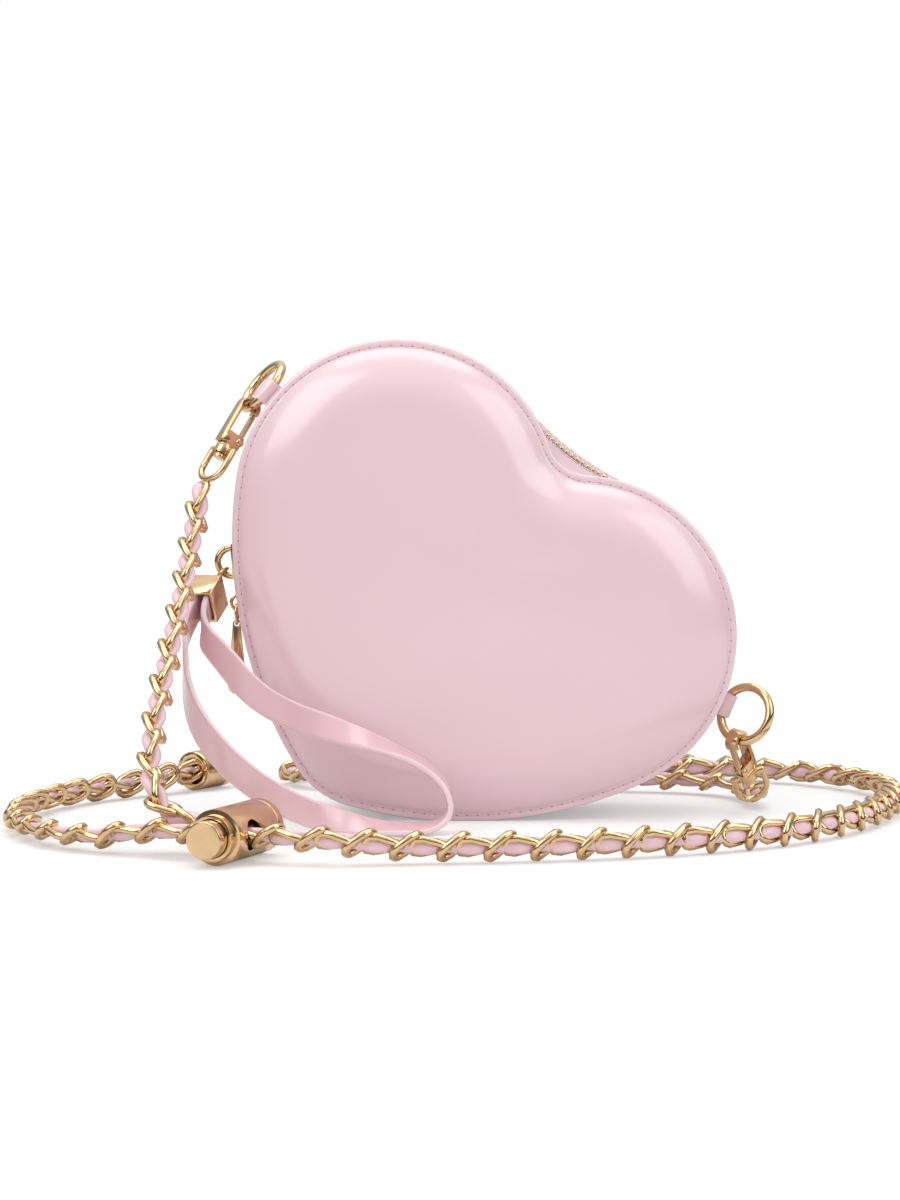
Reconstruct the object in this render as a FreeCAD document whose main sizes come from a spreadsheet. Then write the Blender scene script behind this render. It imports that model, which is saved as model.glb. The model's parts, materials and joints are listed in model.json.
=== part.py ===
import FreeCAD, Part
import math
import os

import Sketcher
from FreeCAD import Placement, Rotation, Vector

# Driving dimensions, in millimetres and degrees
SIZES = {
    # Outline of the heart: two lobes, two flanks, a rounded tip and a rounded notch
    "lobe_radius": 57.0,
    "lobe_offset": 39.2,
    "flank_radius": 153.0,
    "tip_radius": 30.0,
    "tip_depth": 68.0,
    "notch_radius": 14.5,
    "zip_notch_radius": 120.0,
    "heart_tilt": 37.1,
    "rest_flat": 0.4,
    # Body: gusset, panels and their layers
    "gusset_width": 44.0,
    "gusset_skin": 1.4,
    "gusset_lining": 0.6,
    "panel_skin": 1.2,
    "panel_board": 1.5,
    "panel_lining": 0.6,
    "rim_width": 4.5,
    "dome_run": 20.0,
    "dome_height": 10.0,
    "mouth_height": 66.0,
    "mouth_gap": 0.3,
    # Zip
    "zip_slot": 7.0,
    "tape_width": 8.0,
    "tape_skin": 0.6,
    "tape_gap": 0.15,
    "tooth_gap": 1.6,
    "tooth_width": 1.5,
    "tooth_depth": 2.2,
    "tooth_sink": 0.6,
    "stop_length": 2.5,
    # Slider and its pull
    "slider_lift": 10.0,
    "slider_length": 9.0,
    "slider_width": 6.0,
    "slider_plate": 1.4,
    "slider_play": 0.35,
    "slider_post": 0.9,
    "post_length": 3.0,
    "bail_radius": 2.8,
    "bail_wire": 0.7,
    "pull_ring_radius": 3.4,
    "pull_ring_wire": 0.6,
    "pull_ring_play": 0.3,
    "charm_length": 27.0,
    "charm_width": 7.0,
    "charm_thickness": 2.4,
    "charm_neck": 3.0,
    "charm_hole": 1.0,
    # Strap rings and the tabs that hold them
    "ring_radius": 9.8,
    "ring_wire": 1.6,
    "tab_width": 8.5,
    "tab_wall": 0.8,
    "tab_foot": 8.0,
    "tab_play": 0.15,
    "left_tab_angle": 139.5,
    "left_tab_depth": -14.0,
    "left_ring_lift": 20.0,
    "right_tab_angle": -24.7,
    "right_tab_depth": -6.0,
    "right_ring_lift": 129.0,
    # Swivel clasp
    "hook_gap": 2.3,
    "hook_bar": 1.7,
    "hook_thickness": 4.4,
    "hook_reach": 11.0,
    "hook_tip": 1.4,
    "hook_play": 0.5,
    "base_height": 5.0,
    "gate_thickness": 2.4,
    "gate_bar": 1.4,
    "gate_play": 0.3,
    "gate_pin": 0.6,
    "gate_pin_drop": 2.0,
    "stem_radius": 1.5,
    "stem_head": 2.3,
    "stem_head_height": 1.3,
    "swivel_play": 0.08,
    "swivel_gap": 0.3,
    "collar_radius": 3.2,
    "collar_height": 3.6,
    "eye_radius": 5.6,
    "eye_wire": 1.1,
    "eye_leg": 6.8,
    "left_eye_turn": 107.4,
    "right_eye_turn": 141.2,
    # Chain, its stopper and its end cup
    "chain_radius": 4.5,
    "chain_play": 0.4,
    "stopper_radius": 8.8,
    "stopper_length": 30.0,
    "stopper_nose": 3.0,
    "stopper_nose_radius": 7.3,
    "stopper_cap": 4.0,
    "stopper_turn": 67.5,
    "stopper_x": -81.3,
    "stopper_y": -134.0,
    "bore_place": 18.0,
    "anchor_place": 28.5,
    "button_radius": 6.0,
    "button_out": 5.0,
    "button_play": 0.2,
    "button_travel": 3.0,
    "button_back": 7.5,
    "spring_radius": 4.4,
    "spring_wire": 0.9,
    "cup_radius": 7.5,
    "cup_length": 19.0,
    "cup_depth": 12.0,
    # Wrist strap
    "staple_height": 91.0,
    "staple_depth": -14.0,
    "staple_radius": 5.0,
    "staple_wire": 1.2,
    "staple_plate": 1.0,
    "staple_plate_width": 3.6,
    "link_radius": 3.9,
    "link_wire": 0.7,
    "link_play": 0.25,
    "clamp_width": 10.0,
    "clamp_depth": 12.0,
    "clamp_height": 12.5,
    "clamp_wall": 1.2,
    "clamp_back": 3.0,
    "lug_radius": 3.1,
    "lug_wire": 0.8,
    "strap_radius": 1.5,
    "strap_spread": 4.0,
    "screw_radius": 1.1,
    "screw_head": 0.6,
    "overrun": 1.0,
}

# Shares of the sizes that the outlines follow
DOME_STEPS = 6
DOME_LEVELS = range(DOME_STEPS + 1)
ARC_SHARE = 0.45

# Routes of the chain and of the wrist strap, between their ends
LEFT_CHAIN = [
    (-94.6, -27.5, 103.0),
    (-96.2, -44.0, 83.5),
    (-99.2, -62.0, 63.0),
    (-101.9, -78.0, 44.6),
    (-103.0, -90.0, 29.0),
    (-100.6, -98.4, 17.4),
    (-91.5, -99.5, 9.8),
]
MAIN_CHAIN = [
    (108.0, 27.0, 4.7),
    (101.0, 44.0, 4.7),
    (84.0, 55.0, 4.7),
    (56.0, 59.5, 4.7),
    (22.0, 60.0, 4.7),
    (-12.0, 58.0, 4.7),
    (-42.0, 60.0, 4.7),
    (-62.0, 68.5, 4.7),
    (-70.0, 84.0, 4.7),
    (-62.0, 99.0, 4.7),
    (-42.0, 105.0, 4.7),
    (-10.0, 105.5, 4.7),
    (24.0, 106.5, 4.7),
    (58.0, 105.0, 4.7),
    (90.0, 100.5, 4.7),
    (116.0, 92.0, 4.7),
    (137.0, 79.0, 4.7),
    (152.0, 60.0, 4.7),
    (159.0, 36.0, 4.7),
    (158.0, 10.0, 4.7),
    (150.0, -18.0, 4.7),
    (138.0, -45.0, 4.7),
    (121.0, -70.0, 4.7),
    (97.0, -91.0, 4.7),
    (69.0, -106.0, 4.7),
    (38.0, -116.0, 4.7),
    (7.0, -121.5, 4.7),
    (-22.0, -124.5, 5.4),
]
TAIL_CHAIN = [
    (-116.0, -101.5, 4.9),
    (-132.0, -91.0, 4.7),
    (-146.0, -72.0, 4.7),
    (-154.0, -48.0, 4.7),
    (-156.0, -22.0, 4.7),
    (-150.0, 4.0, 4.7),
    (-137.5, 27.0, 4.7),
    (-121.0, 45.0, 5.0),
]
WRIST_STRAP = [
    (-95.6, -47.0, 60.0),
    (-94.4, -56.0, 49.0),
    (-90.0, -63.0, 38.5),
    (-82.4, -67.0, 28.5),
    (-71.0, -69.0, 18.5),
    (-56.0, -68.0, 10.5),
    (-39.0, -64.0, 6.2),
    (-22.0, -58.5, 5.6),
    (-9.5, -53.0, 6.2),
    (-4.5, -46.5, 9.4),
    (-11.5, -42.5, 14.0),
    (-26.0, -42.5, 21.5),
    (-43.0, -44.5, 30.0),
    (-59.5, -46.5, 39.0),
    (-73.0, -47.0, 48.0),
    (-82.5, -44.0, 58.5),
]
CUP_MOUTH = (-104.5, 62.0, 7.6)
CUP_AIM = (0.49, 0.87, 0.0)
LEFT_CLASP_AIM = (-0.46, -0.33, -0.825)
RIGHT_CLASP_AIM = (0.2945, 0.5986, -0.745)
CLAMP_AIM = (-0.25, -0.83, -0.5)
LINK_AIM = (-0.75, -0.285, -0.6)


class Dim:
    """A length and the spreadsheet formula that it comes from."""

    def __init__(self, value, text):
        self.value = value
        self.text = text

    def __add__(self, other):
        return Dim(self.value + other.value, f"({self.text} + {other.text})")

    def __sub__(self, other):
        return Dim(self.value - other.value, f"({self.text} - {other.text})")

    def __mul__(self, share):
        return Dim(self.value * share, f"({self.text} * {share})")


class Sheet:
    """The spreadsheet of driving dimensions: names give formulas, and at() gives numbers."""

    def __init__(self, document, sizes):
        self.cells = document.addObject("Spreadsheet::Sheet", "sizes")
        for row, (alias, value) in enumerate(sizes.items(), start=1):
            self.cells.set(f"A{row}", alias)
            self.cells.set(f"B{row}", str(value))
            self.cells.setAlias(f"B{row}", alias)
        document.recompute()

    def at(self, alias):
        return float(getattr(self.cells, alias))

    def __getattr__(self, alias):
        return Dim(self.at(alias), f"sizes.{alias}")


doc = FreeCAD.newDocument("heart_purse")
d = Sheet(doc, SIZES)
at = d.at
nodes = {}

UP = Vector(0, 0, 1)
BACK = Vector(0, 1, 0)
RIGHT = Vector(1, 0, 0)
ORIGIN = Vector(0, 0, 0)


# Helpers that make primitives bound to the sheet
def bind(piece, **sizes):
    for name, dim in sizes.items():
        piece.setExpression(name, dim.text)
    return piece


def facing(base, axis, side=None):
    """A placement at base whose Z runs along axis and whose X leans towards side."""
    axis = Vector(axis).normalize()
    side = Vector(side) if side else (RIGHT if abs(axis.x) < math.sqrt(1 / 2) else BACK)
    return Placement(Vector(base), Rotation(side, Vector(), axis, "ZXY"))


def cylinder(name, radius, height, base=ORIGIN, axis=UP):
    piece = bind(doc.addObject("Part::Cylinder", name), Radius=radius, Height=height)
    piece.Placement = facing(base, axis)
    return piece


def rod(name, radius, length, centre, axis):
    """A cylinder that reaches as far to each side of its centre."""
    return cylinder(name, radius, length, centre - Vector(axis) * (length.value / 2), axis)


def block(name, x, y, z, centre):
    """A box about its centre."""
    piece = bind(doc.addObject("Part::Box", name), Length=x, Width=y, Height=z)
    piece.Placement.Base = centre - Vector(x.value, y.value, z.value) / 2
    return piece


def torus(name, radius, wire, place, sweep=360):
    piece = bind(doc.addObject("Part::Torus", name), Radius1=radius, Radius2=wire)
    piece.Angle3 = sweep
    piece.Placement = place
    return piece


def fuse(name, *pieces):
    piece = doc.addObject("Part::MultiFuse", name)
    piece.Shapes = list(pieces)
    return piece


def cut(name, base, *tools):
    piece = doc.addObject("Part::Cut", name)
    piece.Base = base
    piece.Tool = tools[0] if len(tools) == 1 else fuse(f"{name}_tools", *tools)
    return piece


def node(label, piece, place=None):
    """Names a finished sub-part and puts it in its place."""
    piece.Label = label
    if place is not None:
        piece.Placement = place
    nodes[label] = piece
    return piece


def formed(label, shape):
    """A sub-part whose shape comes from wires and lofts."""
    piece = doc.addObject("Part::Feature", label)
    piece.Shape = shape
    return node(label, piece)


def body(label):
    return doc.addObject("PartDesign::Body", label)


def sketch(owner, name, role):
    plane = next(f for f in owner.Origin.OriginFeatures if f.Role == role)
    drawing = owner.newObject("Sketcher::SketchObject", name)
    drawing.AttachmentSupport = (plane, [""])
    drawing.MapMode = "FlatFace"
    return drawing


def circle_sketch(owner, name, role, radius):
    drawing = sketch(owner, name, role)
    drawing.addGeometry(Part.Circle(ORIGIN, UP, radius.value))
    drawing.addConstraint(Sketcher.Constraint("Coincident", 0, 3, -1, 1))
    index = drawing.addConstraint(Sketcher.Constraint("Radius", 0, radius.value))
    drawing.setExpression(f"Constraints[{index}]", radius.text)
    return drawing


def rectangle_sketch(owner, name, role, width, height):
    drawing = sketch(owner, name, role)
    x, y = width.value / 2, height.value / 2
    corners = [Vector(-x, -y, 0), Vector(x, -y, 0), Vector(x, y, 0), Vector(-x, y, 0)]
    for side in range(len(corners)):
        ends = corners[side], corners[(side + 1) % len(corners)]
        drawing.addGeometry(Part.LineSegment(*ends))
    for side in range(len(corners)):
        following = (side + 1) % len(corners)
        drawing.addConstraint(Sketcher.Constraint("Coincident", side, 2, following, 1))
        way = "Vertical" if side % 2 else "Horizontal"
        drawing.addConstraint(Sketcher.Constraint(way, side))
    drawing.addConstraint(Sketcher.Constraint("Symmetric", 0, 1, 1, 2, -1, 1))
    for side, length in ((0, width), (1, height)):
        index = drawing.addConstraint(Sketcher.Constraint("Distance", side, length.value))
        drawing.setExpression(f"Constraints[{index}]", length.text)
    return drawing


def feature(owner, kind, name, profile, length, reverse=False):
    step = owner.newObject(kind, name)
    step.Profile = profile
    step.setExpression("Length", length.text)
    step.Reversed = reverse
    doc.recompute()
    return step


# Outline of the heart, as tangent arcs in the plane of the panels
TILT = math.radians(at("heart_tilt"))
HALF = at("gusset_width") / 2
UPRIGHT = 90.0


def polar(degrees):
    turn = math.radians(degrees)
    return Vector(math.cos(turn), 0, math.sin(turn))


def heading(v):
    return math.degrees(math.atan2(v.z, v.x))


def spun(u, w):
    """A point of the upright heart, turned by the tilt."""
    return Vector(
        u * math.cos(TILT) + w * math.sin(TILT), 0, w * math.cos(TILT) - u * math.sin(TILT)
    )


def flank_centre():
    """Centre of the right flank of the upright heart, tangent to its lobe and to the tip."""
    lobe, tip = Vector(at("lobe_offset"), 0, 0), Vector(0, 0, -at("tip_depth"))
    reach = at("flank_radius") - at("lobe_radius")
    tip_reach = at("flank_radius") - at("tip_radius")
    line = tip - lobe
    span = line.Length
    line.normalize()
    along = (span**2 + reach**2 - tip_reach**2) / (2 * span)
    off = math.sqrt(reach**2 - along**2)
    return lobe + line * along + Vector(line.z, 0, -line.x) * off


FLANK = flank_centre()
LOW = spun(FLANK.x, FLANK.z)
HEART = Vector(-LOW.x, 0, at("flank_radius") - LOW.z - at("rest_flat"))
LEFT_LOBE = HEART + spun(-at("lobe_offset"), 0)
RIGHT_LOBE = HEART + spun(at("lobe_offset"), 0)
LEFT_FLANK = HEART + spun(-FLANK.x, FLANK.z)


def arc(centre, radius, start, end, y):
    """An arc of the outline from one heading of the upright heart to another."""
    middle = HEART + spun(centre.x, centre.z) + Vector(0, y, 0)
    turns = (start, (start + end) / 2, end)
    points = [middle + polar(turn - at("heart_tilt")) * radius for turn in turns]
    return Part.Arc(*points).toShape()


def outline(inset, y, notch):
    """The heart's outline, drawn in by inset, at depth y, with a notch of that radius."""
    lobe, tip = Vector(at("lobe_offset"), 0, 0), Vector(0, 0, -at("tip_depth"))
    rise = math.sqrt((at("lobe_radius") + notch) ** 2 - at("lobe_offset") ** 2)
    dip = Vector(0, 0, rise)
    notch_end = heading(lobe - dip)
    lobe_start, lobe_end = heading(dip - lobe), heading(lobe - FLANK)
    flank_end = heading(tip - FLANK)
    straight = 2 * UPRIGHT
    mirrored_lobe = Vector(-lobe.x, 0, 0)
    mirrored_flank = Vector(-FLANK.x, 0, FLANK.z)
    flank, round_tip = at("flank_radius") - inset, at("tip_radius") - inset
    lobe_radius = at("lobe_radius") - inset
    edges = [
        arc(dip, notch + inset, -straight - notch_end, notch_end, y),
        arc(lobe, lobe_radius, lobe_start, lobe_end, y),
        arc(FLANK, flank, lobe_end, flank_end, y),
        arc(tip, round_tip, flank_end, -straight - flank_end, y),
        arc(mirrored_flank, flank, -straight - flank_end, -straight - lobe_end, y),
        arc(mirrored_lobe, lobe_radius, straight - lobe_end, straight - lobe_start, y),
    ]
    return Part.Wire(edges)


def notch_at(y):
    """The zip bridges the notch, so its radius grows from the rims towards the zip."""
    share = 1 - abs(y) / HALF
    return at("notch_radius") + (at("zip_notch_radius") - at("notch_radius")) * share


def loft(wires):
    return Part.makeLoft(wires, True, True)


REACH = 4 * (at("lobe_radius") + at("tip_depth"))


def slab(inset, y_from, y_to):
    wires = [outline(inset, y, notch_at(y)) for y in (y_from, y_to)]
    return loft(wires)


def band(outer, inner):
    """A strip as wide as the gusset that runs round the heart between two insets."""
    return slab(outer, -HALF, HALF).cut(slab(inner, -HALF, HALF))


def half_band(outer, inner, side, near, far):
    """A strip on one side of the zip, between two insets and two distances from the middle."""
    whole = slab(outer, 0, side * HALF).cut(slab(inner, 0, side * HALF))
    low = min(side * near, side * far)
    room = Part.makeBox(REACH, far - near, REACH, Vector(-REACH / 2, low, -REACH / 2))
    return whole.common(room)


def above(shape, height):
    room = Part.makeBox(REACH, REACH, REACH, Vector(-REACH / 2, -REACH / 2, height))
    return shape.common(room)


def below(shape, height):
    room = Part.makeBox(REACH, REACH, REACH, Vector(-REACH / 2, -REACH / 2, height - REACH))
    return shape.common(room)


def rested(shape):
    """The bag is flat where it rests."""
    return above(shape, 0)


MOUTH_TOP = at("mouth_height") + at("mouth_gap") / 2
MOUTH_BASE = at("mouth_height") - at("mouth_gap") / 2


def dome(depth, side):
    """The padded swell of a panel, at a depth under its outer face."""
    wires = []
    for level in DOME_LEVELS:
        turn = math.radians(UPRIGHT * level / DOME_STEPS)
        inset = at("rim_width") + depth + at("dome_run") * (1 - math.cos(turn))
        y = HALF + (at("dome_height") - depth) * math.sin(turn)
        wires.append(outline(inset, side * y, at("notch_radius")))
    return loft(wires)


def panel_layers(side):
    """Outer skin with its flat rim, stiffening board and lining of one panel."""
    skin, board = at("panel_skin"), at("panel_board")
    lining = at("panel_lining")
    rim = Part.Face(outline(0, side * HALF, at("notch_radius")))
    rim = rim.extrude(Vector(0, side * skin, 0))
    levels = [dome(depth, side) for depth in (0, skin, skin + board, skin + board + lining)]
    shell = rim.fuse(levels[0]).cut(levels[1]).removeSplitter()
    return shell, levels[1].cut(levels[2]), levels[2].cut(levels[3])


def build_panels():
    names = ("panel", "board", "lining")
    for name, shape in zip(names, panel_layers(-1)):
        formed(f"front_{name}", rested(shape))
    for name, shape in zip(names, panel_layers(1)):
        formed(f"back_{name}_lower", rested(below(shape, MOUTH_BASE)))
        formed(f"back_{name}_upper", above(shape, MOUTH_TOP))


def build_gusset():
    skin = at("gusset_skin")
    formed("lower_gusset", rested(below(band(0, skin), MOUTH_BASE)))
    cloth = band(skin, skin + at("gusset_lining"))
    formed("gusset_lining", below(cloth, MOUTH_BASE))
    tape = skin + at("tape_gap")
    tooth = at("tooth_gap") / 2 + at("tooth_width")
    tape_end = tooth + at("tape_width")
    for name, side in (("front", -1), ("back", 1)):
        strip = half_band(0, skin, side, at("zip_slot") / 2, HALF)
        formed(f"zip_strip_{name}", above(strip, MOUTH_TOP))
        cloth = half_band(tape, tape + at("tape_skin"), side, tooth, tape_end)
        formed(f"zip_tape_{name}", above(cloth, MOUTH_TOP))
        foot = MOUTH_TOP + at("stop_length") if side < 0 else MOUTH_TOP
        formed(f"zip_teeth_{name}", above(teeth(side), foot))
    stop = above(teeth(-1), MOUTH_TOP)
    formed("zip_stops", below(stop, MOUTH_TOP + at("stop_length")))


def teeth(side):
    """The row of teeth on one side of the zip; stops end the front row."""
    sink, near = at("tooth_sink"), at("tooth_gap") / 2
    return half_band(sink, sink + at("tooth_depth"), side, near, near + at("tooth_width"))


def on_lobe(centre, degrees, depth):
    """A frame on the gusset of a lobe: Z outwards, X along the outline, Y to the back."""
    out = polar(degrees)
    base = centre + out * at("lobe_radius") + Vector(0, depth, 0)
    return Placement(base, Rotation(Vector(), BACK, out, "ZYX"))


def on_left_flank(height, depth):
    """The same frame on the left flank, at a height over the floor."""
    sine = (height - LEFT_FLANK.z) / at("flank_radius")
    out = Vector(-math.sqrt(1 - sine**2), 0, sine)
    base = LEFT_FLANK + out * at("flank_radius") + Vector(0, depth, 0)
    return Placement(base, Rotation(Vector(), BACK, out, "ZYX"))


# Zip slider with its bail, and the pull that hangs from it
def build_slider():
    """Plates over and under the teeth, joined between the rows, and a bail.

    The inner plate has its wing on the front row only, so that the back row can swing away.
    """
    frame = on_left_flank(at("mouth_height") + at("slider_lift"), 0)
    top_z = at("slider_play") - at("tooth_sink")
    base_z = -at("tooth_sink") - at("tooth_depth") - at("slider_play")
    half_plate = at("slider_plate") / 2
    top = block(
        "slider_top", d.slider_length, d.slider_width, d.slider_plate, UP * (top_z + half_plate)
    )
    wing = d.slider_width * 0.5 + d.slider_post * 0.5
    wing_y = (at("slider_post") - wing.value) / 2
    wing_place = Vector(0, wing_y, base_z - half_plate)
    base = block("slider_base", d.slider_length, wing, d.slider_plate, wing_place)
    post_height = d.tooth_depth + d.slider_play * 2 + d.slider_plate
    post_x = (at("slider_length") - at("post_length")) / 2
    post = block(
        "slider_core",
        d.post_length,
        d.slider_post,
        post_height,
        Vector(post_x, 0, (top_z + base_z) / 2),
    )
    arch_base = UP * (top_z + at("slider_plate"))
    arch = torus("slider_bail", d.bail_radius, d.bail_wire, Placement(), 180)
    arch.Placement = Placement(arch_base, Rotation(Vector(), UP, BACK, "ZYX"))
    node("zip_slider", fuse("slider_solid", top, base, post, arch), frame)
    lift = at("pull_ring_wire") + at("pull_ring_play")
    out = frame.Rotation.multVec(UP)
    return frame.multVec(arch_base) + out * lift - UP * at("pull_ring_wire")


def build_pull(hold):
    """A jump ring through the bail, and a leaf-shaped charm through the ring."""
    centre = hold - UP * at("pull_ring_radius")
    ring = torus("pull_jump_ring", d.pull_ring_radius, d.pull_ring_wire, facing(centre, RIGHT))
    node("pull_ring", ring)
    hang = centre - UP * at("pull_ring_radius")
    half, neck = at("charm_width") / 2, at("charm_neck") / 2
    shoulder = neck - at("charm_length") + half
    corners = [
        Vector(-half, 0, shoulder),
        Vector(-neck, 0, -neck),
        Vector(-neck, 0, 0),
        Vector(neck, 0, 0),
        Vector(neck, 0, -neck),
        Vector(half, 0, shoulder),
    ]
    edges = [
        Part.LineSegment(corners[0], corners[1]).toShape(),
        Part.LineSegment(corners[1], corners[2]).toShape(),
        Part.Arc(corners[2], UP * neck, corners[3]).toShape(),
        Part.LineSegment(corners[3], corners[4]).toShape(),
        Part.LineSegment(corners[4], corners[5]).toShape(),
        Part.Arc(corners[5], UP * (shoulder - half), corners[0]).toShape(),
    ]
    thick = at("charm_thickness")
    leaf = Part.Face(Part.Wire(edges)).extrude(BACK * thick)
    overrun = at("overrun")
    hole = Part.makeCylinder(at("charm_hole"), thick + 2 * overrun, BACK * -overrun, BACK)
    leaf = leaf.cut(hole)
    leaf.translate(hang - BACK * (thick / 2))
    formed("pull_charm", leaf)


# Strap rings in their tabs
def tab_bow():
    """How far the ring's wire bows away from the straight across the tab."""
    radius, half = at("ring_radius"), at("tab_width") / 2
    return radius - math.sqrt(radius**2 - half**2)


def tab_hole():
    """Radius of the tab's fold inside, which clears the bowed wire at any turn."""
    half = d.tab_width * 0.5
    square = f"sqrt({d.ring_radius.text}^2 - {half.text}^2)"
    bow = Dim(tab_bow(), f"({d.ring_radius.text} - {square})")
    slant = at("ring_radius") / (at("ring_radius") - tab_bow())
    wire = Dim(at("ring_wire") * slant, f"({d.ring_wire.text} * {d.ring_radius.text} / {square})")
    return wire + bow * 0.5 + d.tab_play


def build_tab(side, frame):
    """A folded tongue whose loop runs along the outline, on a foot sewn to the gusset."""
    hole = tab_hole()
    outer = hole + d.tab_wall
    middle = Vector(0, 0, outer.value)
    loop = rod(f"{side}_tab_loop", outer, d.tab_width, middle, RIGHT)
    foot_middle = Vector(0, 0, at("tab_wall") / 2)
    foot = block(f"{side}_tab_foot", d.tab_width, d.tab_foot, d.tab_wall, foot_middle)
    bore = rod(f"{side}_tab_bore", hole, d.tab_width + d.overrun * 2, middle, RIGHT)
    solid = cut(f"{side}_tab_cut", fuse(f"{side}_tab_solid", loop, foot), bore)
    node(f"{side}_tab", solid, frame)
    return frame.multVec(middle)


def build_ring(side, frame, pivot, lift, pull):
    """A round ring through the tab, lifted about the tab's loop; a clasp pulls it.

    Returns the point of the wire that the clasp hangs from, and the wire's direction there.
    """
    along = frame.Rotation.multVec(RIGHT)
    out = frame.Rotation.multVec(UP)
    turn = math.radians(lift)
    reach = BACK * math.cos(turn) + out * math.sin(turn)
    centre = pivot + reach * (at("ring_radius") - tab_bow() / 2)
    ring = torus(f"{side}_ring_torus", d.ring_radius, d.ring_wire, facing(centre, along.cross(reach)))
    node(f"{side}_ring", ring)
    pull = Vector(*pull)
    spoke = (along * along.dot(pull) + reach * reach.dot(pull)).normalize()
    wire = along.cross(reach).cross(spoke)
    wire = wire if wire.dot(reach) > 0 else wire * -1
    return centre + spoke * at("ring_radius"), wire


# Swivel clasp: hook, sprung gate on its pin, and an eye that turns on the hook's stem
def build_clasp(side, wire, aim, across, eye_turn):
    axis = Vector(aim).normalize() * -1
    base = wire - axis * (at("hook_gap") - at("ring_wire") - at("hook_play"))
    normal = Vector(across)
    frame = Placement(base, Rotation(Vector(), normal, axis, "ZYX"))
    outer = d.hook_gap + d.hook_bar
    middle_bar = at("hook_gap") + at("hook_bar") / 2
    thick = d.hook_thickness
    disc = rod(f"{side}_hook_disc", outer, thick, ORIGIN, BACK)
    gap = rod(f"{side}_hook_gap", d.hook_gap, thick + d.overrun, ORIGIN, BACK)
    half = block(
        f"{side}_hook_half",
        outer * 2 + d.overrun,
        thick + d.overrun,
        outer,
        Vector(0, 0, -outer.value / 2),
    )
    arch = cut(f"{side}_hook_arch", disc, gap, half)
    reach, tip = at("hook_reach"), at("hook_tip")
    spine = block(
        f"{side}_hook_spine", d.hook_bar, thick, d.hook_reach, Vector(-middle_bar, 0, -reach / 2)
    )
    point = block(f"{side}_hook_point", d.hook_bar, thick, d.hook_tip, Vector(middle_bar, 0, -tip / 2))
    foot = reach + at("base_height")
    crown = block(
        f"{side}_hook_crown",
        outer * 2,
        thick,
        d.base_height,
        Vector(0, 0, -reach - at("base_height") / 2),
    )
    collar_room = d.collar_height + d.swivel_gap * 2
    stem = cylinder(f"{side}_stem", d.stem_radius, collar_room, Vector(0, 0, -foot), UP * -1)
    head_top = -foot - collar_room.value
    head = cylinder(
        f"{side}_stem_head", d.stem_head, d.stem_head_height, Vector(0, 0, head_top), UP * -1
    )
    whole = fuse(f"{side}_hook_solid", arch, spine, point, crown, stem, head)
    pin_x = at("hook_gap") + at("hook_bar") / 2
    pin_z = -reach - at("gate_pin_drop")
    pin_place = Vector(pin_x, 0, pin_z)
    slot_wide = d.gate_thickness + d.gate_play * 2
    slot_from = at("gate_bar")
    slot_tall = d.gate_pin_drop * 2
    slot_long = outer - d.gate_bar + d.overrun
    slot = block(
        f"{side}_gate_slot",
        slot_long,
        slot_wide,
        slot_tall,
        Vector(slot_from + slot_long.value / 2, 0, -reach - slot_tall.value / 2),
    )
    pin_hole = rod(f"{side}_pin_hole", d.gate_pin, thick + d.overrun, pin_place, BACK)
    node(f"{side}_hook", cut(f"{side}_hook_cut", whole, slot, pin_hole), frame)
    pin = rod(f"{side}_pin_rod", d.gate_pin, thick, pin_place, BACK)
    node(f"{side}_gate_pin", pin, frame.multiply(pin.Placement))
    build_gate(side, frame, pin_place)
    build_eye(side, frame, foot, eye_turn)
    return frame


def build_gate(side, frame, pin_place):
    bar = d.gate_bar
    length = d.hook_reach + d.gate_pin_drop - d.hook_tip - d.gate_play
    middle = pin_place + UP * (length.value / 2)
    plate = block(f"{side}_gate_plate", bar, d.gate_thickness, length, middle)
    knuckle = rod(f"{side}_gate_knuckle", d.gate_pin + bar * 0.5, d.gate_thickness, pin_place, BACK)
    bore = rod(
        f"{side}_gate_bore",
        d.gate_pin + d.swivel_play,
        d.gate_thickness + d.overrun,
        pin_place,
        BACK,
    )
    node(f"{side}_gate", cut(f"{side}_gate_cut", fuse(f"{side}_gate_solid", plate, knuckle), bore), frame)


def build_eye(side, frame, foot, eye_turn):
    collar_top = -foot - at("swivel_gap")
    collar = cylinder(
        f"{side}_collar", d.collar_radius, d.collar_height, Vector(0, 0, collar_top), UP * -1
    )
    bar_z = collar_top - at("collar_height") / 2
    bar = rod(f"{side}_eye_bar", d.eye_wire, d.eye_radius * 2, Vector(0, 0, bar_z), RIGHT)
    legs = [
        cylinder(f"{side}_eye_leg_{name}", d.eye_wire, d.eye_leg, Vector(x, 0, bar_z), UP * -1)
        for name, x in (("a", -at("eye_radius")), ("b", at("eye_radius")))
    ]
    low = Vector(0, 0, bar_z - at("eye_leg"))
    bow = torus(f"{side}_eye_bow", d.eye_radius, d.eye_wire, Placement(), 180)
    bow.Placement = Placement(low, Rotation(RIGHT, Vector(), BACK, "ZXY"))
    corners = []
    for name, x in (("a", -at("eye_radius")), ("b", at("eye_radius"))):
        corner = bind(doc.addObject("Part::Sphere", f"{side}_eye_corner_{name}"), Radius=d.eye_wire)
        corner.Placement.Base = Vector(x, 0, bar_z)
        corners.append(corner)
    whole = fuse(f"{side}_eye_solid", collar, bar, bow, *legs, *corners)
    bore = cylinder(
        f"{side}_eye_bore",
        d.stem_radius + d.swivel_play,
        d.collar_height + d.overrun * 2,
        Vector(0, 0, collar_top + at("overrun")),
        UP * -1,
    )
    turned = frame.multiply(Placement(ORIGIN, Rotation(UP, eye_turn)))
    node(f"{side}_swivel_eye", cut(f"{side}_eye_cut", whole, bore), turned)


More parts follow.
